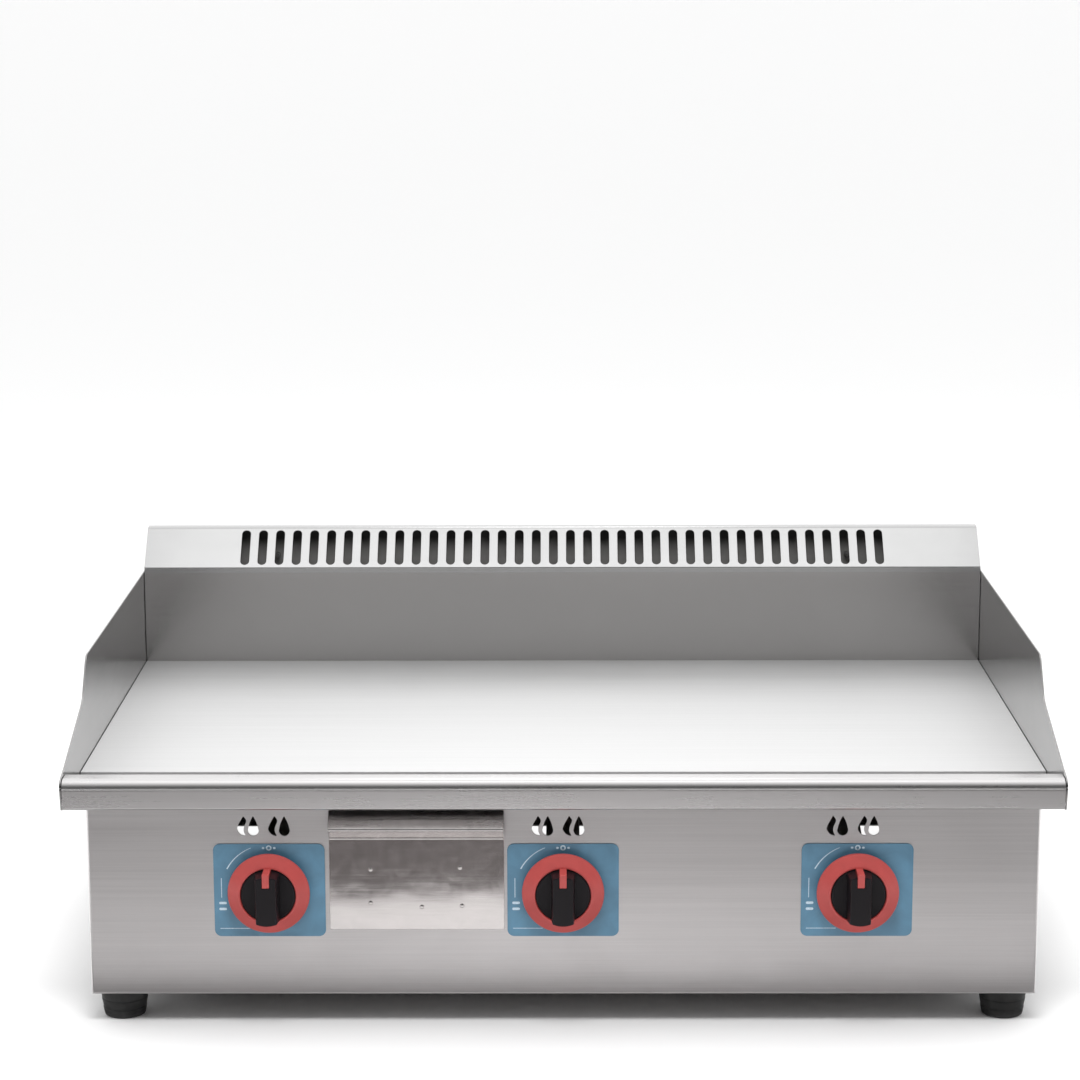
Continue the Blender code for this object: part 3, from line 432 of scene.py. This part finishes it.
def brushed_steel(name, color, roughness, along, streak=0.05, depth=0.02 * MM, patch=0.03, metallic=1.0):
    """Sheet steel brushed along one direction, with cloudy handling marks."""
    made = Surface(name, color, roughness, metallic)
    fine = [900.0, 900.0, 900.0]      # cells per metre, few of them along the brushing
    broad = [260.0, 260.0, 260.0]
    fine["XYZ".index(along)] = 7.0
    broad["XYZ".index(along)] = 2.5
    hairs = made.noise(fine, detail=4.0, roughness=0.7)
    bands = made.noise(broad, detail=2.0)
    clouds = made.noise((6.0, 6.0, 6.0), detail=4.0, distortion=0.6)
    smears = made.noise((22.0, 22.0, 30.0), detail=5.0, roughness=0.6, distortion=1.2)
    grain = made.math("ADD", made.math("MULTIPLY", hairs, 0.6), made.math("MULTIPLY", bands, 0.4))
    made.shade(made.remap(grain, (0.34, 0.66), (0.0, 1.0)), 1.0 - streak, 1.0 + streak)
    marks = made.math("ADD", made.math("MULTIPLY", clouds, 0.6), made.math("MULTIPLY", smears, 0.4))
    texture = made.math("ADD", made.remap(marks, (0.35, 0.65), (-patch, patch)),
                        made.remap(grain, (0.35, 0.65), (-0.025, 0.025)))
    made.rough(made.math("ADD", texture, roughness))
    made.bump(grain, depth)
    return made.material


def polished_steel():
    """Mirror-polished sheet: slow waves, faint hairlines and wiped smears."""
    made = Surface("polished_steel", (0.74, 0.71, 0.70), 0.12, 1.0)
    waves = made.noise((16.0, 16.0, 26.0), detail=1.5)
    hairs = made.noise((30.0, 800.0, 800.0), detail=3.0)
    smears = made.noise((60.0, 60.0, 60.0), detail=5.0, distortion=1.5)
    made.shade(made.remap(smears, (0.35, 0.65), (0.0, 1.0)), 0.93, 1.03)
    made.rough(made.math("ADD", made.remap(smears, (0.4, 0.7), (0.11, 0.15)),
                         made.remap(hairs, (0.3, 0.7), (-0.02, 0.02))))
    made.bump(waves, 0.5 * MM)
    made.bump(hairs, 0.006 * MM)
    return made.material


def painted_shade_steel():
    """Matt sheet at the back of the flue, with painted shade that darkens it towards its top, where less
    light comes in through the slots.
    """
    made = Surface("flue_back_painted_shade", (0.50, 0.49, 0.48), 0.58, 0.45)
    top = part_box("flue_back")[1].z
    # band of heights over which the painted shade darkens the sheet
    stain_and_painted_shade = (top - 24 * MM, top - 6 * MM)
    clouds = made.noise((40.0, 40.0, 25.0), detail=4.0, distortion=0.6)
    height = made.math("ADD", made.along("Z"), made.remap(clouds, (0.3, 0.7), (-2 * MM, 2 * MM)))
    # painted shade: the tone runs from slightly light below the band to nearly black at the sheet's top
    made.shade(made.remap(height, stain_and_painted_shade, (1.0, 0.0)), 0.10, 1.1)
    made.rough(made.remap(clouds, (0.3, 0.7), (0.52, 0.72)))
    made.bump(clouds, 0.1 * MM)
    return made.material


def moulded_plastic(name, color, roughness, grain=0.04 * MM, specular=0.5):
    """Plastic with a fine spark-eroded grain and rubbed patches."""
    made = Surface(name, color, roughness, 0.0, Specular_IOR_Level=specular)
    pores = made.noise((2600.0, 2600.0, 2600.0), detail=2.0)
    rubbed = made.noise((90.0, 90.0, 90.0), detail=4.0, distortion=0.8)
    made.shade(made.remap(rubbed, (0.3, 0.7), (0.0, 1.0)), 0.95, 1.05)
    made.rough(made.remap(rubbed, (0.3, 0.7), (roughness - 0.04, roughness + 0.04)))
    made.bump(pores, grain)
    return made.material


def printed_foil():
    """Blue foil plate: slightly mottled ink over a fine brushed base."""
    made = Surface("label_blue", (0.10, 0.24, 0.36), 0.42, 0.0, Specular_IOR_Level=0.5,
                   Coat_Weight=0.25, Coat_Roughness=0.2)
    mottle = made.noise((45.0, 45.0, 45.0), detail=4.0, distortion=0.8)
    lines = made.noise((20.0, 900.0, 900.0), detail=2.0)
    made.shade(made.remap(mottle, (0.3, 0.7), (0.0, 1.0)), 0.86, 1.16)
    made.rough(made.remap(mottle, (0.3, 0.7), (0.36, 0.5)))
    made.bump(lines, 0.01 * MM)
    return made.material


def rubber():
    """Moulded rubber with pores and dust that has settled in patches."""
    made = Surface("rubber_black", (0.022, 0.022, 0.022), 0.62, 0.0, Specular_IOR_Level=0.4)
    pores = made.noise((1500.0, 1500.0, 1500.0), detail=3.0)
    dust = made.noise((70.0, 70.0, 40.0), detail=5.0)
    made.shade(made.remap(dust, (0.35, 0.75), (0.0, 1.0)), 0.8, 2.2)
    made.rough(made.remap(dust, (0.3, 0.7), (0.52, 0.75)))
    made.bump(pores, 0.08 * MM)
    return made.material


def cast_metal(name, color, roughness, metallic=1.0, heat=0.2, grain=0.06 * MM):
    """Machined, cast or fired surface with a soft uneven tone and a fine grain."""
    made = Surface(name, color, roughness, metallic)
    stain_and_painted_shade = made.noise((35.0, 35.0, 35.0), detail=5.0, distortion=0.7)
    turning = made.noise((1300.0, 1300.0, 1300.0), detail=3.0)
    made.shade(made.remap(stain_and_painted_shade, (0.3, 0.7), (0.0, 1.0)), 1.0 - heat, 1.0 + heat)
    made.rough(made.remap(stain_and_painted_shade, (0.3, 0.7), (roughness - 0.08, roughness + 0.08)))
    made.bump(turning, grain)
    return made.material


def ink(name, color):
    """Pale print with a faint speckle."""
    made = Surface(name, color, 0.5, 0.0)
    speckle = made.noise((1200.0, 1200.0, 1200.0), detail=2.0)
    made.shade(made.remap(speckle, (0.3, 0.7), (0.0, 1.0)), 0.85, 1.1)
    made.rough(made.remap(speckle, (0.3, 0.7), (0.42, 0.58)))
    return made.material


# The stainless sheets (panels, sides, guards, back, lip, flue) are one steel: their different base tones
# are painted light and shade, each part lighter or darker by how brightly it is lit; their roughness and
# brushing direction are the parts' own finish.
PANEL_STEEL = brushed_steel("stainless_panels", (0.74, 0.722, 0.722), 0.36, "X")
SIDE_STEEL = brushed_steel("stainless_sides", (0.54, 0.53, 0.53), 0.24, "Y")
PLATE_STEEL = brushed_steel("plate_steel", (0.72, 0.72, 0.72), 0.60, "X", streak=0.03, patch=0.02,
                            metallic=0.82)
GUARD_STEEL = brushed_steel("stainless_guards", (0.39, 0.385, 0.385), 0.19, "Y", streak=0.03)
BACK_STEEL = brushed_steel("stainless_back", (0.44, 0.43, 0.425), 0.22, "X", streak=0.03)
BRIGHT_STEEL = brushed_steel("stainless_lip", (0.63, 0.62, 0.62), 0.28, "X", streak=0.03, depth=0.01 * MM)
FLUE_STEEL = brushed_steel("stainless_flue", (0.47, 0.47, 0.47), 0.22, "X", streak=0.03)
DULL_STEEL = painted_shade_steel()
POLISHED_STEEL = polished_steel()
KNOB_RED = moulded_plastic("knob_red", (0.50, 0.075, 0.070), 0.38, grain=0.02 * MM)
KNOB_BLACK = moulded_plastic("knob_black", (0.009, 0.007, 0.009), 0.40, specular=0.3)
LABEL_BLUE = printed_foil()
LABEL_INK = ink("label_ink", (0.60, 0.74, 0.84))
RUBBER = rubber()
BRASS = cast_metal("brass", (0.62, 0.43, 0.18), 0.34)
PIPE_STEEL = cast_metal("pipe_steel", (0.42, 0.42, 0.43), 0.42)
BURNER_STEEL = cast_metal("burner_steel", (0.33, 0.30, 0.28), 0.50, heat=0.35)
SCREW_STEEL = cast_metal("screw_steel", (0.66, 0.66, 0.66), 0.26, heat=0.08)
CERAMIC = cast_metal("ceramic_white", (0.80, 0.78, 0.74), 0.32, metallic=0.0, heat=0.06, grain=0.02 * MM)
SILICONE = cast_metal("lead_silicone", (0.62, 0.59, 0.55), 0.55, metallic=0.0, heat=0.08)


# ---- body -----------------------------------------------------------------------------------
def knob_centre(number):
    """X and Z of a knob's axis, from its valve's plug."""
    low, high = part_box(f"valve_plug_{number}")
    return (low.x + high.x) / 2, (low.z + high.z) / 2


def folded_pan(low, high, radius):
    """A block whose front upright edges and front bottom edge are rounded like sheet folds."""
    mesh = block((low.x, high.x), (low.y, high.y), (low.z, high.z))
    folds = []
    near = MM / 10
    for edge in mesh.edges:
        first, second = (vert.co for vert in edge.verts)
        front = abs(first.y - low.y) < near and abs(second.y - low.y) < near
        upright = abs(first.x - second.x) < near
        bottom = abs(first.z - low.z) < near and abs(second.z - low.z) < near
        if front and (upright or bottom):
            folds.append(edge)
    bmesh.ops.bevel(mesh, geom=folds, offset=radius, segments=6, profile=0.5, affect="EDGES")
    return mesh


def build_front_panel():
    """Folded front panel with rounded folds, sight holes, stem holes and the drawer opening."""
    fold = 2.3 * MM
    low, high = BODY_LOW.copy(), BODY_HIGH.copy()
    inner_low = low + Vector((SHEET, SHEET, SHEET))
    inner_high = Vector((high.x - SHEET, high.y + OVERCUT, high.z + OVERCUT))
    shell = folded_pan(low, high, fold)
    returns = block((low.x - OVERCUT, high.x + OVERCUT), (low.y + RETURN_DEPTH, high.y + OVERCUT),
                    (low.z + SHEET, high.z + OVERCUT))
    through = (PANEL_Y - OVERCUT, PANEL_Y + 3 * MM)
    tray_low, tray_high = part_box("drawer_tray")
    side, below, above = 1.5 * MM, MM, 2.5 * MM      # room round the tray in its opening
    cuts = [block((tray_low.x - side, tray_high.x + side), through,
                  (tray_low.z - below, tray_high.z + above))]
    for number in BURNER_NUMBERS:
        x, z = knob_centre(number)
        cuts.append(prism(circle(STEM_HOLE, (x, z)), "Y", *through))
        height = z + SIGHT_HOLE_RISE
        for pair in SIGHT_PAIRS:
            flame_centre = (x + pair - SIGHT_SPREAD, height)
            drop_centre = (x + pair + SIGHT_SPREAD, height)
            flame = flame_outline(SIGHT_HOLE_HEIGHT, flame_centre)
            drop = drop_outline(DROP_RADIUS, SIGHT_HOLE_HEIGHT, drop_centre)
            cuts += [prism(flame, "Y", *through), prism(drop, "Y", *through)]
    for node in ("foot_screw_front_left", "foot_screw_front_right"):
        near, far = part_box(node)
        centre = ((near.x + far.x) / 2, (near.y + far.y) / 2)
        hole = circle(FOOT_HOLE, centre, segments=24)
        cuts.append(prism(hole, "Z", BASE_Z - OVERCUT, BASE_Z + 3 * MM))
    piece("front_panel_sheet", shell, "griddle", PANEL_STEEL, ["front_panel"],
          cuts=[folded_pan(inner_low, inner_high, fold - SHEET), returns, gather(cuts)],
          bevel=0.2 * MM)


def build_flue_cap():
    """Sloping cap with its row of slots, closed ends and rear edge."""
    low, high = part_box("flue_cap")
    front, back = low.y, high.y
    foot = low.z + FLUE_FOOT
    crest = foot + FLUE_RISE
    bend = front + FLUE_RISE
    below = low.z - OVERCUT
    foot_fold, crest_fold, back_fold = 1.2 * MM, 4 * MM, 2.4 * MM
    outer = [(front, low.z), (front, foot, foot_fold), (bend, crest, crest_fold),
             (back, high.z, back_fold), (back, low.z)]
    inset = SHEET * tan(FLUE_SLOPE / 2)
    inner = [(front + SHEET, below), (front + SHEET, foot - inset),
             (bend + inset, crest - SHEET, crest_fold - MM),
             (back - SHEET, high.z - SHEET, back_fold - SHEET), (back - SHEET, below)]
    shell = prism(rounded(outer), "X", low.x, high.x)
    hollow = prism(rounded(inner), "X", low.x + SHEET, high.x - SHEET)
    end_edge = foot - 1.7 * MM        # lower edge of the cap's closed ends
    notch = block((low.x - OVERCUT, high.x + OVERCUT), (front + SHEET, back - SHEET), (below, end_edge))
    slots = []
    for index in range(SLOT_COUNT):
        x = (index - (SLOT_COUNT - 1) / 2) * SLOT_PITCH
        slots.append(prism(slot_outline(*SLOT_SIZE, (x, 0)), "Z", -4 * MM, 4 * MM))
    cutter = gather(slots)
    cutter.transform(Matrix.Rotation(FLUE_SLOPE, 4, "X"))
    cutter.transform(Matrix.Translation((0, (front + bend) / 2, (foot + crest) / 2)))
    screws = []
    for node in ("flue_screw_left", "flue_screw_right"):
        near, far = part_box(node)
        centre = ((near.x + far.x) / 2, (near.z + far.z) / 2)
        hole = circle(SCREW_HOLE, centre, segments=20)
        screws.append(prism(hole, "Y", back - 2 * MM, back + OVERCUT))
    piece("flue_cap_sheet", shell, "griddle", FLUE_STEEL, ["flue_cap"],
          cuts=[hollow, notch, cutter, gather(screws)], bevel=0.22 * MM)


# ---- knobs and labels -----------------------------------------------------------------------
def from_rim(profile, radius, back):
    """Turned outline from (how far inside the radius, how far in front of the back) in millimetres."""
    return [(radius - inside * MM, back - ahead * MM) for inside, ahead in profile]


def build_knob(number):
    """Red skirt with its pointer, and the black grip across its black hub."""
    x, z = knob_centre(number)
    body = f"knob_{number}"
    low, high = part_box(f"knob_skirt_{number}")
    front, back = low.y, high.y
    rim = from_rim([(1.6, 0), (0.5, 0.3), (0, 1.0), (0, 1.9), (0.4, 2.6), (1.3, 3.1), (5, 5.6)],
                   (high.x - low.x) / 2, back)
    throat = from_rim([(-2.2, 7.5), (-1.3, 8.0), (-0.5, 8.1), (0, 7.6), (0.1, 5), (0, 0)], KNOB_HUB, back)
    piece(f"knob_skirt_ring_{number}", turned(rim + throat, "Y", (x, z), ring=True), body,
          KNOB_RED, [f"knob_skirt_{number}"], bevel=0)
    left, right = x - POINTER_HALF, x + POINTER_HALF
    foot, tip = z + POINTER_FOOT, z + POINTER_TIP
    pointer = rounded([(left, foot, 0.5 * MM), (right, foot, 0.5 * MM), (right, tip), (left, tip)])
    piece(f"knob_pointer_{number}", prism(pointer, "Y", front, back - 3 * MM), body, KNOB_RED,
          bevel=0.4 * MM, segments=3)
    disc_rim = [(4, 7.4), (1.2, 7.9), (0.3, 7.4), (0, 6.8), (0, 0)]
    spigot, spigot_end = 7 * MM, back + 1.5 * MM
    hub = [(0, back - 7.4 * MM)] + from_rim(disc_rim, GRIP_DISC, back)
    hub += [(spigot, back), (spigot, spigot_end), (0, spigot_end)]
    grip = grip_bar(x, z, GRIP_DISC - 0.4 * MM, back - 4.4 * MM, front)
    slot = block((x - 2.9 * MM, x + 2.9 * MM), (front - OVERCUT, back - 2.7 * MM),
                 (z + 10.5 * MM, z + 23 * MM))
    bore = prism(circle(3.3 * MM, (x, z), 24), "Y", front + 7 * MM, back + 5 * MM)
    piece(f"knob_hub_and_grip_{number}", turned(hub, "Y", (x, z)), body, KNOB_BLACK,
          [f"knob_grip_{number}"], joins=[grip], cuts=[slot, bore], bevel=0.35 * MM, segments=3)


def grip_bar(x, z, radius, back, front, steps=16):
    """Upright bar across the knob, tapering towards its face, with round ends."""
    mesh = bmesh.new()
    rows = []
    for along, shrink in ((back, 0.0), (front + 1.6 * MM, 0.9 * MM), (front + 0.5 * MM, 1.25 * MM),
                          (front + 0.2 * MM, 1.9 * MM)):
        half = GRIP_HALF_WIDTH - 1.4 * shrink      # the flanks taper more than the ends
        reach = radius - shrink
        row = []
        for end in (1, -1):
            start = asin(half / reach)
            for step in range(steps + 1):
                angle = end * pi / 2 - start + 2 * start * step / steps
                row.append(mesh.verts.new((x + reach * cos(angle), along, z + reach * sin(angle))))
        rows.append(row)
    mesh.faces.new(rows[0])
    mesh.faces.new(rows[-1])
    for lower, upper in zip(rows, rows[1:]):
        for index in range(len(lower)):
            follow = (index + 1) % len(lower)
            mesh.faces.new((lower[index], lower[follow], upper[follow], upper[index]))
    bmesh.ops.recalc_face_normals(mesh, faces=mesh.faces)
    return mesh


def arc_band(centre, radius, first, last, width, steps=24):
    """Outline of a curved stroke, drawn thin at its first angle and at full width at its last."""
    outer, inner = [], []
    for step in range(steps + 1):
        angle = radians(first + (last - first) * step / steps)
        half = width / 2 * (0.35 + 0.65 * step / steps)
        for row, offset in ((outer, half), (inner, -half)):
            reach = radius + offset
            row.append(Vector((centre[0] + reach * cos(angle), centre[1] + reach * sin(angle))))
    return outer + inner[::-1]


def build_label(number):
    """Blue plate, and its generic print: a ring between two dots, an arc, two bars and thin lines."""
    low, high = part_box(f"control_label_{number}")
    x, z = knob_centre(number)
    middle = ((low.x + high.x) / 2, (low.z + high.z) / 2)
    corner, hairline = 5 * MM, 0.5 * MM
    plate = prism(rectangle(high.x - low.x, high.z - low.z, middle, corner), "Y", low.y, high.y)
    hole = prism(circle(LABEL_HOLE, (x, z)), "Y", low.y - OVERCUT, high.y + OVERCUT)
    piece(f"control_label_plate_{number}", plate, "griddle", LABEL_BLUE,
          [f"control_label_{number}"], cuts=[hole], bevel=0.12 * MM)
    skin, root = low.y - 0.06 * MM, low.y + 0.02 * MM
    mark = z + 32.6 * MM              # height of the ring and its dots
    strokes = [arc_band((x, z), 35.2 * MM, 112, 152, 0.9 * MM)]
    for height in (-9.6 * MM, -14.2 * MM):
        strokes.append(rectangle(5.6 * MM, 1.9 * MM, (x - 34.6 * MM, z + height), 0.9 * MM))
    strokes.append(rectangle(hairline, 15 * MM, (x - 35.4 * MM, z + 2 * MM), 0.2 * MM))
    strokes.append(rectangle(22 * MM, hairline, (x - 26 * MM, z - 29.2 * MM), 0.2 * MM))
    for side in (-1, 1):
        strokes.append(rectangle(1.9 * MM, 1.6 * MM, (x + side * 4.1 * MM, mark), 0.75 * MM))
    meshes = [prism(stroke, "Y", skin, root) for stroke in strokes]
    inside, outside = 1.0 * MM, 2.1 * MM
    ring = [(inside, root), (outside, root), (outside, skin), (inside, skin)]
    meshes.append(turned(ring, "Y", (x, mark), 32, ring=True))
    piece(f"control_label_print_{number}", gather(meshes), "griddle", LABEL_INK, bevel=0)


# ---- drawer ---------------------------------------------------------------------------------
def build_drawer_front():
    """Folded front with its V-shaped pull, and the weld dimples that hold the tray to it."""
    low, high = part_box("drawer_front")
    middle = high.y - SHEET / 2
    nose = low.z + PULL_HEIGHT
    root_fold, nose_fold = 3 * MM, 1.2 * MM
    path = [(middle, low.z), (middle, nose - PULL_DROP, root_fold),
            (low.y + SHEET / 2, nose, nose_fold), (middle, high.z - 0.4 * MM)]
    section = sheet_section(rounded(path, steps=10))
    piece("drawer_front_sheet", prism(section, "X", low.x, high.x), "drawer",
          POLISHED_STEEL, ["drawer_front"], bevel=0.3 * MM)
    face = high.y - SHEET
    # each dimple's radius and how far it stands out, in millimetres
    dimple = ((0, 0.35), (0.7, 0.3), (1.4, 0.1), (1.9, -0.05), (0, -0.05))
    profile = [(radius * MM, face - ahead * MM) for radius, ahead in dimple]
    # welds, in millimetres across and up from the drawer's lower left corner
    welds = ((30.0, 20.5), (30.4, 46.0), (67.8, 17.5), (97.4, 18.3), (96.1, 47.3))
    for index, (across, up) in enumerate(welds, 1):
        centre = (low.x + across * MM, low.z + up * MM)
        piece(f"drawer_weld_{index}", turned(profile, "Y", centre, 24), "drawer",
              POLISHED_STEEL, bevel=0)


# ---- feet -----------------------------------------------------------------------------------
def build_foot(name):
    """Tapered rubber foot with two grooves round it, a hollowed sole and a hole for its screw."""
    low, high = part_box(f"foot_{name}")
    centre = ((low.x + high.x) / 2, (low.y + high.y) / 2)
    top, base = 18.4 * MM, 15.4 * MM
    height = high.z - low.z
    sole, groove = 1.2 * MM, 0.5 * MM
    screw_hole, screw_depth = 3 * MM, 13 * MM
    profile = [(0, low.z + sole), (base - 4 * MM, low.z + sole), (base - 4.6 * MM, low.z),
               (base - 1.2 * MM, low.z), (base - 0.3 * MM, low.z + 0.4 * MM), (base, low.z + sole)]
    for share in (0.3, 0.6):
        at = low.z + height * share
        radius = base + (top - base) * share
        profile += [(radius, at - 0.9 * MM), (radius - groove, at - 0.4 * MM),
                    (radius - groove, at + 0.4 * MM), (radius, at + 0.9 * MM)]
    profile += [(top, high.z - 1.2 * MM), (top - 0.3 * MM, high.z - 0.3 * MM), (top - 1.1 * MM, high.z),
                (screw_hole, high.z), (screw_hole, high.z - screw_depth), (0, high.z - screw_depth)]
    piece(f"foot_rubber_{name}", turned(profile, "Z", centre, 64), "griddle", RUBBER,
          [f"foot_{name}"], bevel=0)


# ---- stage ----------------------------------------------------------------------------------
def build_floor():
    """Plain pale floor that runs on to the edge of the view."""
    floor = bare_object("floor", prism(circle(150.0, (0, 0), 128), "Z", -0.02, 0.0))
    surface = Surface("floor_pale", (0.92, 0.92, 0.92), 0.6, 0.0, Specular_IOR_Level=0.2)
    mottle = surface.noise((3.0, 3.0, 3.0), detail=3.0)
    surface.shade(surface.remap(mottle, (0.3, 0.7), (0.0, 1.0)), 0.997, 1.003)
    surface.rough(surface.remap(mottle, (0.3, 0.7), (0.55, 0.65)))
    floor.data.materials.append(surface.material)


def build_cards():
    """Dark and grey sheets on the floor in front of the griddle, which only its steel mirrors; the strip
    nearest the griddle is a painted shadow of the body on the floor.
    """
    near = PANEL_Y - CARD_GAP
    cards = (
        # name, colour, reach to either side, front and back edge, height
        ("card_dark", (0.105, 0.096, 0.096), 680 * MM, (near - 650 * MM, near), CARD_TOP),
        ("card_grey", (0.64, 0.63, 0.63), 600 * MM, (near, PANEL_Y + 20 * MM), CARD_TOP),
        # painted shadow: a dark strip standing in for the body's shade on the floor, seen only in the
        # steel's reflections
        ("painted_shadow_card", (0.09, 0.085, 0.085), 600 * MM, (PANEL_Y - 70 * MM, PANEL_Y - 20 * MM),
         CARD_TOP + 2 * MM),
    )
    for name, color, reach, depth, height in cards:
        card = bare_object(name, block((-reach, reach), depth, (height - MM, height)))
        shade = Surface(name, color, 0.8, 0.0, Specular_IOR_Level=0.1)
        fibre = shade.remap(shade.noise((40.0, 40.0, 40.0), detail=3.0), (0.3, 0.7), (0.85, 1.0))
        from_middle = shade.math("ABSOLUTE", shade.along("X"), 0.0)
        middle = shade.remap(from_middle, (80 * MM, 500 * MM), (1.0, 0.0))
        shade.shade(shade.math("MULTIPLY", fibre, middle), 0.70, 1.05)
        card.data.materials.append(shade.material)
        card.visible_camera = False
        card.visible_diffuse = False
        card.visible_shadow = False


def area_light(name, place, target, size, power):
    """A rectangular lamp at a place, aimed at a target, that the camera doesn't see."""
    data = bpy.data.lights.new(name, "AREA")
    data.shape = "RECTANGLE"
    data.size, data.size_y = size
    data.energy = power
    made = bpy.data.objects.new(name, data)
    bpy.context.scene.collection.objects.link(made)
    made.location = place
    made.rotation_euler = (Vector(target) - Vector(place)).to_track_quat("-Z", "Y").to_euler()
    made.visible_camera = False
    return made


def build_room():
    """A room that is bright behind and above the griddle and dark in front, with a pale backdrop."""
    brightest = (0, 0.78, 0.72)       # direction from which the room's light comes
    span, levels = (-0.45, 0.70), (0.08, 1.30)
    backdrop_level = 0.97             # what the camera sees past the floor
    world = bpy.data.worlds.new("studio")
    bpy.context.scene.world = world
    world.use_nodes = True
    tree = world.node_tree
    background = tree.nodes["Background"]
    direction = tree.nodes.new("ShaderNodeTexCoord").outputs["Generated"]
    lean = tree.nodes.new("ShaderNodeVectorMath")
    lean.operation = "DOT_PRODUCT"
    lean.inputs[1].default_value = brightest
    tree.links.new(direction, lean.inputs[0])
    ramp = tree.nodes.new("ShaderNodeMapRange")
    ramp.interpolation_type = "SMOOTHSTEP"
    for key, value in zip(("From Min", "From Max", "To Min", "To Max"), (*span, *levels)):
        ramp.inputs[key].default_value = value
    tree.links.new(lean.outputs["Value"], ramp.inputs["Value"])
    backdrop = tree.nodes.new("ShaderNodeMix")
    backdrop.data_type = "FLOAT"
    backdrop.inputs[3].default_value = backdrop_level
    camera_ray = tree.nodes.new("ShaderNodeLightPath").outputs["Is Camera Ray"]
    tree.links.new(camera_ray, backdrop.inputs[0])
    tree.links.new(ramp.outputs["Result"], backdrop.inputs[2])
    tree.links.new(backdrop.outputs[0], background.inputs["Color"])
    background.inputs["Strength"].default_value = 1.0


def build_lights():
    """Soft boxes overhead and in front that no steel mirrors, and two that it does mirror."""
    overhead = area_light("overhead_softbox", (0, 0.1, 1.5), (0, 0.05, 0.1), (0.9, 1.0), 7)
    overhead.visible_glossy = False
    area_light("rear_glow", (0, 1.6, 1.7), (0, 0.0, 0.15), (0.5, 0.8), 3.0)
    area_light("flue_glow", (0, -0.165, 1.5), (0, 0.19, 0.26), (1.1, 0.4), 1.0)
    fill = area_light("front_fill", (0, -1.15, 2.2), (0, -0.2, 0.1), (0.9, 0.5), 26)
    fill.visible_glossy = False


def build_camera():
    """The viewing angle of a catalogue picture: from in front, a little above."""
    data = bpy.data.cameras.new("camera")
    data.sensor_width = 36.0
    data.lens = 93.86
    made = bpy.data.objects.new("camera", data)
    bpy.context.scene.collection.objects.link(made)
    place = spot(-3.0 * MM, -1981.0 * MM, 741.6 * MM)
    pitch, yaw, roll = 0.1982, -0.0067, -0.0027
    forward = Vector((sin(yaw) * cos(pitch), cos(yaw) * cos(pitch), -sin(pitch)))
    right = Vector((cos(yaw), -sin(yaw), 0))
    up = right.cross(forward)
    tilted_right = right * cos(roll) + up * sin(roll)
    tilted_up = up * cos(roll) - right * sin(roll)
    turn = Matrix((tilted_right, tilted_up, -forward)).transposed().to_4x4()
    made.matrix_world = Matrix.Translation(place) @ turn
    bpy.context.scene.camera = made


def dress_frame_nodes():
    """Materials and fine edges for the frame nodes that are shown as they are."""
    dress("grease_gutter", BRIGHT_STEEL, 0.3 * MM)
    for node in ("splash_guard_left", "splash_guard_right"):
        dress(node, GUARD_STEEL, 0.3 * MM)
    for node in ("side_panel_left", "side_panel_right"):
        dress(node, SIDE_STEEL, 0.3 * MM)
    for node in ("backsplash", "rear_panel"):
        dress(node, BACK_STEEL, 0.25 * MM)
    dress("flue_back", DULL_STEEL, 0.25 * MM)
    dress("griddle_plate", PLATE_STEEL, 0.5 * MM)
    for node in ("drawer_tray", "drawer_rail_left", "drawer_rail_right", "drain_spout",
                 "burner_rail_front", "burner_rail_rear"):
        dress(node, SIDE_STEEL, 0.2 * MM)
    for number in BURNER_NUMBERS:
        for name, surface in (("gas_valve", BRASS), ("valve_plug", BRASS), ("injector", BRASS),
                              ("burner", BURNER_STEEL), ("ignition_electrode", CERAMIC),
                              ("ignition_lead", SILICONE), ("valve_stem", SCREW_STEEL)):
            dress(f"{name}_{number}", surface, 0.0, 0.1)
    dress("gas_inlet_fitting", BRASS, 0.0, 0.1)
    dress("gas_manifold", PIPE_STEEL, 0.0, 0.1)
    for node in NODES:
        if "screw" in node:
            dress(node, SCREW_STEEL, 0.15 * MM)


def main():
    bpy.context.scene.view_settings.view_transform = "Standard"
    build_camera()
    build_floor()
    build_cards()
    build_room()
    build_lights()
    dress_frame_nodes()
    build_front_panel()
    build_flue_cap()
    build_drawer_front()
    for number in BURNER_NUMBERS:
        build_knob(number)
        build_label(number)
    for name in ("front_left", "front_right", "rear_left", "rear_right"):
        build_foot(name)


main()
